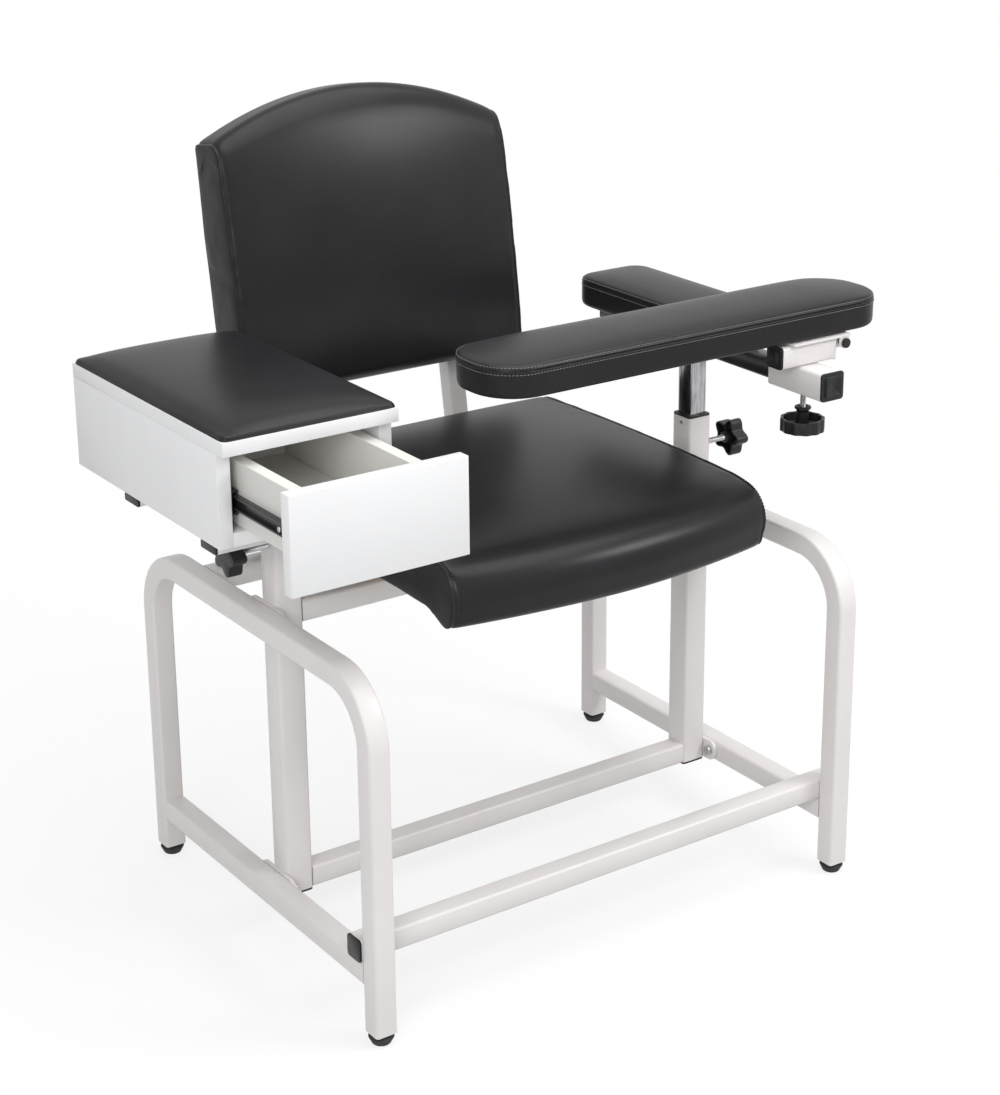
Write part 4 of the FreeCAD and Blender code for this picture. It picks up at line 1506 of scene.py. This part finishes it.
@dataclass
class TubeFrame:
    """Side loops, rails, cross tubes, posts and seat tubes, all of welded square tube."""

    chair: ChairFrame
    corner: float = 4 * MM
    loop_bend: float = 77 * MM
    seat_bend: float = 60 * MM
    bend_steps: int = 16
    hole_radius: float = 3.1 * MM
    hole_drop: float = 9 * MM
    hole_depth: float = 6 * MM

    def build(self) -> None:
        """Make the bent tubes and finish the straight ones."""
        for side in ("left", "right"):
            self.side_loop(side)
            self.seat_tube(side)
        for node in ("side_rails", "front_crossbar", "post_crossbars", "rear_crossbar", "left_post"):
            self.chair.finished_copy(node, Finish.FRAME, 0.0, shading=TUBE_SHADING)
        self.right_post()
        self.chair.finished_copy("post_tabs", Finish.FRAME, 0.5 * MM)
        for node in ("tube_plugs", "post_collars"):
            self.chair.finished_copy(node, Finish.PLASTIC, 0.6 * MM)
        self.chair.finished_copy("tab_screws", Finish.ZINC, 0.35 * MM)
        self.chair.finished_copy("foot_pads", Finish.RUBBER, 0.4 * MM)

    def right_post(self) -> None:
        """The right post, with the small hole near the top of its inner side."""
        low, high = self.chair.span("right_post")
        post = self.chair.copy_node("right_post", "right_post_finish")
        mouth = Vector((low.x, (low.y + high.y) / 2, high.z - self.hole_drop))
        drill(post, self.chair.place, mouth, X, self.hole_radius, self.hole_depth)
        smooth(post, TUBE_SHADING)
        self.chair.fit(post, Finish.FRAME, "frame", "right_post")

    def side_loop(self, side: str) -> None:
        """One side loop: a leg, the top run and the other leg, bent from one tube.

        Args:
            side: Left or right.
        """
        low, high = self.chair.span(side + "_loop")
        width = high.x - low.x
        half = width / 2
        start = Vector(((low.x + high.x) / 2, low.y + half, low.z))
        thing = tube_start(start, Z, X, width, self.corner, side + "_loop_tube")
        sweep = Sweep(start, Z, Y)
        rear_low, _ = self.chair.span(side + "_loop", lambda p: p.y > (low.y + high.y) / 2)
        top = high.z - half - self.loop_bend
        sweep.run(top - low.z).bend(self.loop_bend, 90, self.bend_steps)
        sweep.run(high.y - low.y - width - 2 * self.loop_bend)
        sweep.bend(self.loop_bend, 90, self.bend_steps).run(top - rear_low.z)
        tube_end(thing, self.chair.place)
        self.chair.fit(thing, Finish.FRAME, "frame", side + "_loop")

    def seat_tube(self, side: str) -> None:
        """One seat tube: a level run under the seat, then up behind the back.

        Args:
            side: Left or right.
        """
        low, high = self.chair.span(side + "_seat_tube")
        width = high.x - low.x
        half = width / 2
        lean = math.radians(BACK_LEAN)
        start = Vector(((low.x + high.x) / 2, low.y, low.z + half))
        thing = tube_start(start, Y, X, width, self.corner, side + "_seat_tube_bent")
        end_y = high.y - half * math.cos(lean)
        rise = high.z - half * math.sin(lean) - start.z
        corner_y = end_y - rise * math.tan(lean)
        reach = self.seat_bend * math.tan((math.pi / 2 - lean) / 2)
        sweep = Sweep(start, Y, Z)
        sweep.run(corner_y - reach - start.y).bend(self.seat_bend, 90 - BACK_LEAN, self.bend_steps)
        sweep.run(rise / math.cos(lean) - reach)
        tube_end(thing, self.chair.place)
        self.chair.fit(thing, Finish.FRAME, "frame", side + "_seat_tube")


# ---------------------------------------------------------------- cabinet and drawer

@dataclass
class Cabinet:
    """The laminated cabinet on the left post, with its drawer on black slides."""

    chair: ChairFrame
    edge: float = 0.7 * MM
    screw_places: tuple[float, ...] = (43 * MM, 200 * MM)
    screw_radius: float = 3.4 * MM
    screw_rise: float = 1.4 * MM

    def build(self) -> None:
        """Finish the panels, the drawer and the slides."""
        for node in ("cabinet_left_side", "cabinet_right_side", "cabinet_bottom", "cabinet_back", "cabinet_lid",
                     "drawer_front"):
            self.chair.finished_copy(node, Finish.PANEL, self.edge)
        for node, edge in (("drawer_sides", 0.5 * MM), ("drawer_back", 0.5 * MM), ("drawer_floor", 2.2 * MM)):
            self.chair.finished_copy(node, Finish.TRAY, edge, segments=1)
        for node in ("slide_outers", "slide_inners", "slide_cages"):
            self.chair.finished_copy(node, Finish.DARK_PAINT, 0.25 * MM)
        self.chair.finished_copy("slide_stops", Finish.PLASTIC, 0.6 * MM)
        self.chair.finished_copy("cabinet_frame", Finish.FRAME, 0.0)
        self.chair.finished_copy("cabinet_frame_plugs", Finish.PLASTIC, 0.4 * MM)
        self.chair.finished_copy("left_height_tube", Finish.CHROME, 0.0, shading=TUBE_SHADING)
        self.slide_screws()

    def slide_screws(self) -> None:
        """Round-headed screws with a cross recess, through each inner slide."""
        low, high = self.chair.span("slide_inners")
        height = (low.z + high.z) / 2
        made = [cross_screw(Vector((face, low.y + place, height)), X * side, self.screw_radius, self.screw_rise)
                for side, face in ((-1, low.x), (1, high.x)) for place in self.screw_places]
        thing = joined(made, "slide_screws")
        settle(thing, self.chair.place)
        smooth(thing, 40)
        self.chair.fit(thing, Finish.ZINC, "drawer")


def cross_screw(at: Vector, outward: Vector, radius: float, rise: float) -> Thing:
    """A round screw head with a cross recess.

    Args:
        at: Where its underside sits.
        outward: The direction it looks in.
        radius: The head's radius.
        rise: The head's height.

    Returns:
        The head.
    """
    deselect()
    bpy.ops.mesh.primitive_cylinder_add(vertices=24, radius=radius, depth=rise, location=(0, 0, rise / 2))
    head = named("screw_head")
    settle(head, Matrix.Identity(4))
    open_edit(head, "FACE")
    pick(head, lambda p: p.z > rise - 0.01 * MM, "FACE")
    bpy.ops.mesh.bevel(offset=rise * 0.6, segments=3, affect="EDGES")
    close_edit()
    for turn in (0, 90):
        bpy.ops.mesh.primitive_cube_add(size=1)
        blade = named("blade")
        settle(blade, Matrix.Translation((0, 0, rise)) @ Matrix.Rotation(math.radians(turn), 4, "Z") @
               Matrix.Diagonal((radius * 1.15, radius * 0.26, rise * 1.1, 1)))
        apply_modifier(head, "BOOLEAN", object=blade, operation="DIFFERENCE")
        bpy.data.objects.remove(blade)
    across = Y if abs(outward.y) < 0.9 else Z
    settle(head, axes_matrix(at, across, outward.cross(across)))
    return head


# ---------------------------------------------------------------- arm rest and hand controls

@dataclass
class ArmRest:
    """The right height tube, the sliding sleeve and the arm that flips over."""

    chair: ChairFrame
    edge: float = 0.4 * MM
    cap_edge: float = 0.6 * MM
    plate_rise: float = 0.9 * MM
    sleeve_margin: float = 6 * MM
    tube_margin: float = 5 * MM

    def build(self) -> None:
        """Finish the arm's metal and caps."""
        for node, finish in (("right_height_tube", Finish.CHROME), ("arm_bar", Finish.DARK_PAINT),
                             ("arm_tube", Finish.FRAME), ("sleeve", Finish.FRAME)):
            self.chair.finished_copy(node, finish, 0.0, shading=TUBE_SHADING)
        for node in ("flip_bracket", "hinge_lug"):
            self.chair.finished_copy(node, Finish.FRAME, self.edge)
        self.chair.finished_copy("arm_bar_plugs", Finish.PLASTIC, self.cap_edge)
        self.chair.finished_copy("sleeve_plugs", Finish.PLASTIC, self.cap_edge, segments=3)
        self.sleeve_plates()
        self.chair.finished_copy("hinge_pin", Finish.PLASTIC, self.edge)

    def sleeve_plates(self) -> None:
        """The raised squares of the caps on the sleeve's front and on the arm tube's left end."""
        caps, _ = self.chair.span("sleeve_plugs")
        sleeve, sleeve_top = self.chair.span("sleeve")
        tube, tube_top = self.chair.span("arm_tube")
        middle, tube_middle = (sleeve + sleeve_top) / 2, (tube + tube_top) / 2
        front = cap_plate(Vector((middle.x, caps.y, middle.z)), -Y, sleeve_top.x - sleeve.x - 2 * self.sleeve_margin,
                          self.plate_rise, "sleeve_cap_plates")
        left = cap_plate(Vector((caps.x, tube_middle.y, tube_middle.z)), -X,
                         tube_top.z - tube.z - 2 * self.tube_margin, self.plate_rise, "tube_cap_plate")
        plates = joined([front, left], "sleeve_cap_plates")
        settle(plates, self.chair.place)
        smooth(plates, 40)
        self.chair.fit(plates, Finish.PLASTIC, self.chair.body("sleeve_plugs"))


def lobed_rim(name: str, lobes: int, widest: float, root: float, height: float, steps: int = 8) -> Thing:
    """A wheel blank whose rim swings evenly between its lobes and the roots between them.

    Args:
        name: The object's name.
        lobes: How many lobes; the first lies on X.
        widest: The radius over the lobes.
        root: The radius at the roots.
        height: The blank's height, from Z = 0 up.
        steps: Sides for each lobe.

    Returns:
        The blank.
    """
    deselect()
    bpy.ops.mesh.primitive_cylinder_add(vertices=lobes * steps, radius=widest, depth=height,
                                        location=(0, 0, height / 2))
    thing = named(name)
    settle(thing, Matrix.Identity(4))
    open_edit(thing)
    step = math.tau / (lobes * steps)
    for number in range(1, steps // 2 + 1):
        reach = (widest + root) / 2 + (widest - root) / 2 * math.cos(math.tau * number / steps)
        pick(thing, lambda p: round(math.atan2(p.y, p.x) / step) % steps in (number, steps - number))
        bpy.ops.transform.resize(value=(reach / widest, reach / widest, 1), center_override=(0, 0, 0))
    close_edit()
    return thing


def hollow(thing: Thing, facing: Vector, wall: float, depth: float) -> None:
    """Sink a blank's end face, leaving a wall all round.

    Args:
        thing: The blank.
        facing: The direction of the end face.
        wall: The wall's thickness.
        depth: How far the face sinks.
    """
    open_edit(thing, "FACE")
    pick_facing(thing, facing)
    bpy.ops.mesh.inset(thickness=wall, depth=0)
    bpy.ops.mesh.extrude_region_move(TRANSFORM_OT_translate={"value": -facing * depth})
    close_edit()


def turned(name: str, profile: Sequence[tuple[float, float]], sides: int = 32) -> Thing:
    """A turned solid, closed at both ends.

    Args:
        name: The object's name.
        profile: Radii and heights, from the low end up.
        sides: Sides round it.

    Returns:
        The solid, about the Z axis.
    """
    deselect()
    radius, height = profile[0]
    bpy.ops.mesh.primitive_circle_add(vertices=sides, radius=radius, fill_type="NGON", location=(0, 0, height))
    thing = named(name)
    settle(thing, Matrix.Identity(4))
    open_edit(thing)
    bpy.ops.mesh.select_all(action="SELECT")
    for wide, high in profile[1:]:
        bpy.ops.mesh.extrude_region_move(TRANSFORM_OT_translate={"value": (0, 0, high - height)})
        bpy.ops.transform.resize(value=(wide / radius, wide / radius, 1), center_override=(0, 0, 0))
        radius, height = wide, high
    bpy.ops.mesh.select_all(action="SELECT")
    bpy.ops.mesh.normals_make_consistent(inside=False)
    close_edit()
    return thing


def threaded_stud(name: str, radius: float, low: float, high: float, pitch: float = 1.25 * MM) -> Thing:
    """A stud with rolled grooves and a chamfered lower end.

    Args:
        name: The object's name.
        radius: Its radius.
        low: Its lower end.
        high: Its upper end.
        pitch: The distance between two grooves.

    Returns:
        The stud, about the Z axis.
    """
    chamfer = 0.8 * MM
    profile = [(radius - chamfer, low), (radius, low + chamfer)]
    for number in range(int((high - low - chamfer) / pitch)):
        start = low + chamfer + number * pitch
        profile += [(radius * 0.88, start + pitch / 2), (radius, start + pitch)]
    return turned(name, profile, 24)


@dataclass
class StarKnob:
    """A moulded knob with five round lobes, hollow at the back, on a steel stud."""

    chair: ChairFrame
    node: str
    outward: float
    radius: float = 28 * MM
    root: float = 18.5 * MM
    thick: float = 20 * MM
    wall: float = 3 * MM
    hub: float = 9 * MM
    stud: float = 4 * MM

    def build(self) -> None:
        """Model the knob and its stud; the hollow back looks along Z."""
        low, high = self.chair.span(self.node)
        outer = high.x if self.outward > 0 else low.x
        reach = high.x - low.x
        rim = lobed_rim(self.node + "_head", 5, self.radius, self.root, self.thick)
        hollow(rim, Z, self.wall, 0.65 * self.thick)
        open_edit(rim, "FACE")
        pick_facing(rim, -Z)
        bpy.ops.mesh.inset(thickness=self.wall, depth=0)
        bpy.ops.mesh.inset(thickness=2 * MM, depth=0.8 * MM)
        close_edit()
        soften(rim, 1.6 * MM, 3, 50)
        apply_modifier(rim, "SUBSURF", levels=1, render_levels=1)
        hub = turned("hub", ((self.hub, 0.3 * self.thick), (self.hub, 0.7 * self.thick),
                             (self.hub * 0.9, 1.15 * self.thick), (self.hub * 0.8, 1.2 * self.thick)))
        soften(hub, 0.6 * MM, 2, 30)
        head = joined([rim, hub], self.node + "_head")
        middle = Vector((outer, (low.y + high.y) / 2, (low.z + high.z) / 2))
        place = self.chair.place @ axes_matrix(middle, -Y, Z * self.outward)
        settle(head, place)
        smooth(head, 45)
        self.chair.fit(head, Finish.PLASTIC, self.node, self.node)
        stud = threaded_stud(self.node + "_stud", self.stud, -reach, -1.1 * self.thick)
        settle(stud, place @ Matrix.Diagonal((1, 1, -1, 1)))
        tidy_mesh(stud)
        smooth(stud, 40)
        self.chair.fit(stud, Finish.ZINC, self.node)


@dataclass
class Handwheel:
    """The scalloped handwheel that locks the sleeve, with its hub and stud."""

    chair: ChairFrame
    lobes: int = 12
    scallop: float = 1.6 * MM
    wall: float = 4 * MM
    rim_height: float = 17 * MM
    hub_top: float = 33 * MM
    stud: float = 4 * MM
    ribs: int = 4

    def build(self) -> None:
        """Model the wheel, its hub and stud."""
        low, high = self.chair.span("handwheel")
        radius = (high.x - low.x) / 2
        middle = Vector(((low.x + high.x) / 2, (low.y + high.y) / 2, low.z))
        rim = lobed_rim("handwheel_rim", self.lobes, radius, radius - self.scallop, self.rim_height, 6)
        hollow(rim, Z, self.wall, 0.8 * self.rim_height)
        hollow(rim, -Z, self.wall, 0.08 * self.rim_height)
        soften(rim, 1.0 * MM, 3, 50)
        top = self.hub_top
        hub = turned("hub", ((9 * MM, 2 * MM), (8 * MM, top - 8 * MM), (8.5 * MM, top - 5 * MM),
                             (11 * MM, top - 3 * MM), (11 * MM, top - 0.8 * MM), (10 * MM, top), (6.5 * MM, top),
                             (6 * MM, top - 2 * MM)))
        ribs = [self.rib(radius, math.tau * (number + 0.5) / self.ribs) for number in range(self.ribs)]
        whole = joined([rim, hub, *ribs], "handwheel_rim")
        place = self.chair.place @ Matrix.Translation(middle)
        settle(whole, place)
        smooth(whole, 45)
        self.chair.fit(whole, Finish.PLASTIC, "handwheel", "handwheel")
        stud = threaded_stud("handwheel_stud", self.stud, top - 4 * MM, high.z - low.z)
        settle(stud, place)
        smooth(stud, 40)
        self.chair.fit(stud, Finish.ZINC, "handwheel")

    def rib(self, radius: float, turn: float) -> Thing:
        """One rib between hub and rim.

        Args:
            radius: The wheel's radius.
            turn: Where the rib stands, in radians.

        Returns:
            The rib.
        """
        bpy.ops.mesh.primitive_cube_add(size=1)
        thing = named("rib")
        settle(thing, Matrix.Rotation(turn, 4, "Z") @
               Matrix.Translation((radius / 2, 0, self.rim_height * 0.42)) @
               Matrix.Diagonal((radius - 3 * MM, 2 * MM, self.rim_height * 0.6, 1)))
        soften(thing, 0.5 * MM)
        return thing


# ---------------------------------------------------------------- hidden pieces

@dataclass
class HiddenPieces:
    """Pieces inside others, which keep their CAD shape and get their finish."""

    chair: ChairFrame

    def build(self) -> None:
        """Give every remaining CAD node its finish."""
        finishes = {**dict.fromkeys(("left_guide", "right_guide", "sleeve_liner", "foot_inserts"), Finish.PLASTIC),
                    **dict.fromkeys(("seat_board", "back_board", "front_arm_board", "rear_arm_board"), Finish.PLY)}
        for node, finish in finishes.items():
            thing = self.chair.nodes[node]
            for slot in thing.material_slots:
                slot.material = finish.material()
            if not thing.material_slots:
                thing.data.materials.append(finish.material())
            log.info("%s keeps its CAD shape", node)


# ---------------------------------------------------------------- studio

@dataclass(frozen=True)
class SoftBox:
    """A square lamp that looks at the chair's middle."""

    name: str
    place: tuple[float, float, float]
    size: float
    watts: float
    goal: tuple[float, float, float] = (0.0, 0.0, 0.5)

    def hang(self) -> None:
        """Put the lamp into the scene."""
        data = bpy.data.lights.new(self.name, "AREA")
        data.shape = "SQUARE"
        data.size = self.size
        data.energy = self.watts
        lamp = bpy.data.objects.new(self.name, data)
        lamp.location = self.place
        lamp.rotation_euler = (Vector(self.goal) - Vector(self.place)).to_track_quat("-Z", "Y").to_euler()
        bpy.context.scene.collection.objects.link(lamp)


@dataclass
class Studio:
    """The floor, the lights and the camera."""

    chair: ChairFrame
    eye: tuple[float, float, float] = (-1.6375, -2.4125, 1.5821)
    yaw: float = 35.86
    pitch: float = -18.57
    focal_pixels: float = 2325.7
    middle_x: float = 562.4
    middle_y: float = 449.0
    lamps: tuple[SoftBox, ...] = (SoftBox("overhead", (0.3, -0.2, 2.9), 2.2, 51),
                                  SoftBox("front_left", (-2.6, -2.2, 2.0), 1.6, 50),
                                  SoftBox("front_right", (1.6, -1.8, 2.2), 0.8, 29))

    def build(self) -> None:
        """Make the stage, the lamps and the camera."""
        self.floor()
        self.world()
        for lamp in self.lamps:
            lamp.hang()
        self.camera()

    def floor(self) -> None:
        """A wide plain floor that keeps the chair's shadow and is white further out."""
        deselect()
        bpy.ops.mesh.primitive_plane_add(size=24)
        floor = named("floor")
        r = Recipe("floor_white")
        dim = r.add("ShaderNodeBsdfDiffuse", {}, {"Color": (0.58, 0.58, 0.58, 1)})
        paint = r.add("ShaderNodeBsdfDiffuse", {}, {"Color": (0.95, 0.95, 0.95, 1)})
        away = r.add("ShaderNodeVectorMath", {"operation": "LENGTH"}, {0: r.place()}, "Value")
        share = r.add("ShaderNodeMapRange", {}, {"Value": away, "From Min": 0.8, "From Max": 1.8,
                                                 "To Min": 0.78, "To Max": 1.0})
        white = r.add("ShaderNodeEmission", {}, {"Color": (1, 1, 1, 1), "Strength": 1.0})
        seen = r.add("ShaderNodeMixShader", {}, {0: share, 1: paint, 2: white})
        r.add_output(r.add("ShaderNodeMixShader", {}, {0: r.in_sight(), 1: dim, 2: seen}))
        floor.data.materials.append(r.material)

    def world(self) -> None:
        """Even light from all round, white where it is seen."""
        r = Backdrop("studio")
        lit = r.add("ShaderNodeBackground", {}, {"Color": (0.97, 0.985, 1.0, 1), "Strength": 0.47})
        seen = r.add("ShaderNodeBackground", {}, {"Color": (1, 1, 1, 1), "Strength": 1.0})
        r.add_output(r.add("ShaderNodeMixShader", {}, {0: r.in_sight(), 1: lit, 2: seen}), "ShaderNodeOutputWorld")

    def camera(self) -> None:
        """The camera at the photograph's place."""
        data = bpy.data.cameras.new("photo_camera")
        data.sensor_fit = "HORIZONTAL"
        data.sensor_width = 36.0
        data.lens = self.focal_pixels / PHOTO_WIDTH * data.sensor_width
        data.shift_x = (PHOTO_WIDTH / 2 - self.middle_x) / PHOTO_WIDTH
        data.shift_y = (self.middle_y - PHOTO_HEIGHT / 2) / PHOTO_WIDTH
        data.clip_end = 60
        camera = bpy.data.objects.new("photo_camera", data)
        turn = (Matrix.Rotation(math.radians(-self.yaw), 4, "Z") @
                Matrix.Rotation(math.radians(90 + self.pitch), 4, "X"))
        camera.matrix_world = self.chair.place @ Matrix.Translation(self.eye) @ turn
        bpy.context.scene.collection.objects.link(camera)
        bpy.context.scene.camera = camera
        bpy.context.scene.view_settings.view_transform = "Standard"


# ---------------------------------------------------------------- all of it


def main() -> None:
    """Build the chair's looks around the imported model."""
    logging.basicConfig(level=logging.INFO, format="%(message)s")
    chair = ChairFrame()
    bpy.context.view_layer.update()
    TubeFrame(chair).build()
    Cabinet(chair).build()
    ArmRest(chair).build()
    StarKnob(chair, "left_knob", -1).build()
    StarKnob(chair, "right_knob", 1).build()
    Handwheel(chair).build()
    Upholstery(chair).build()
    HiddenPieces(chair).build()
    Studio(chair).build()


if __name__ == "__main__":
    main()
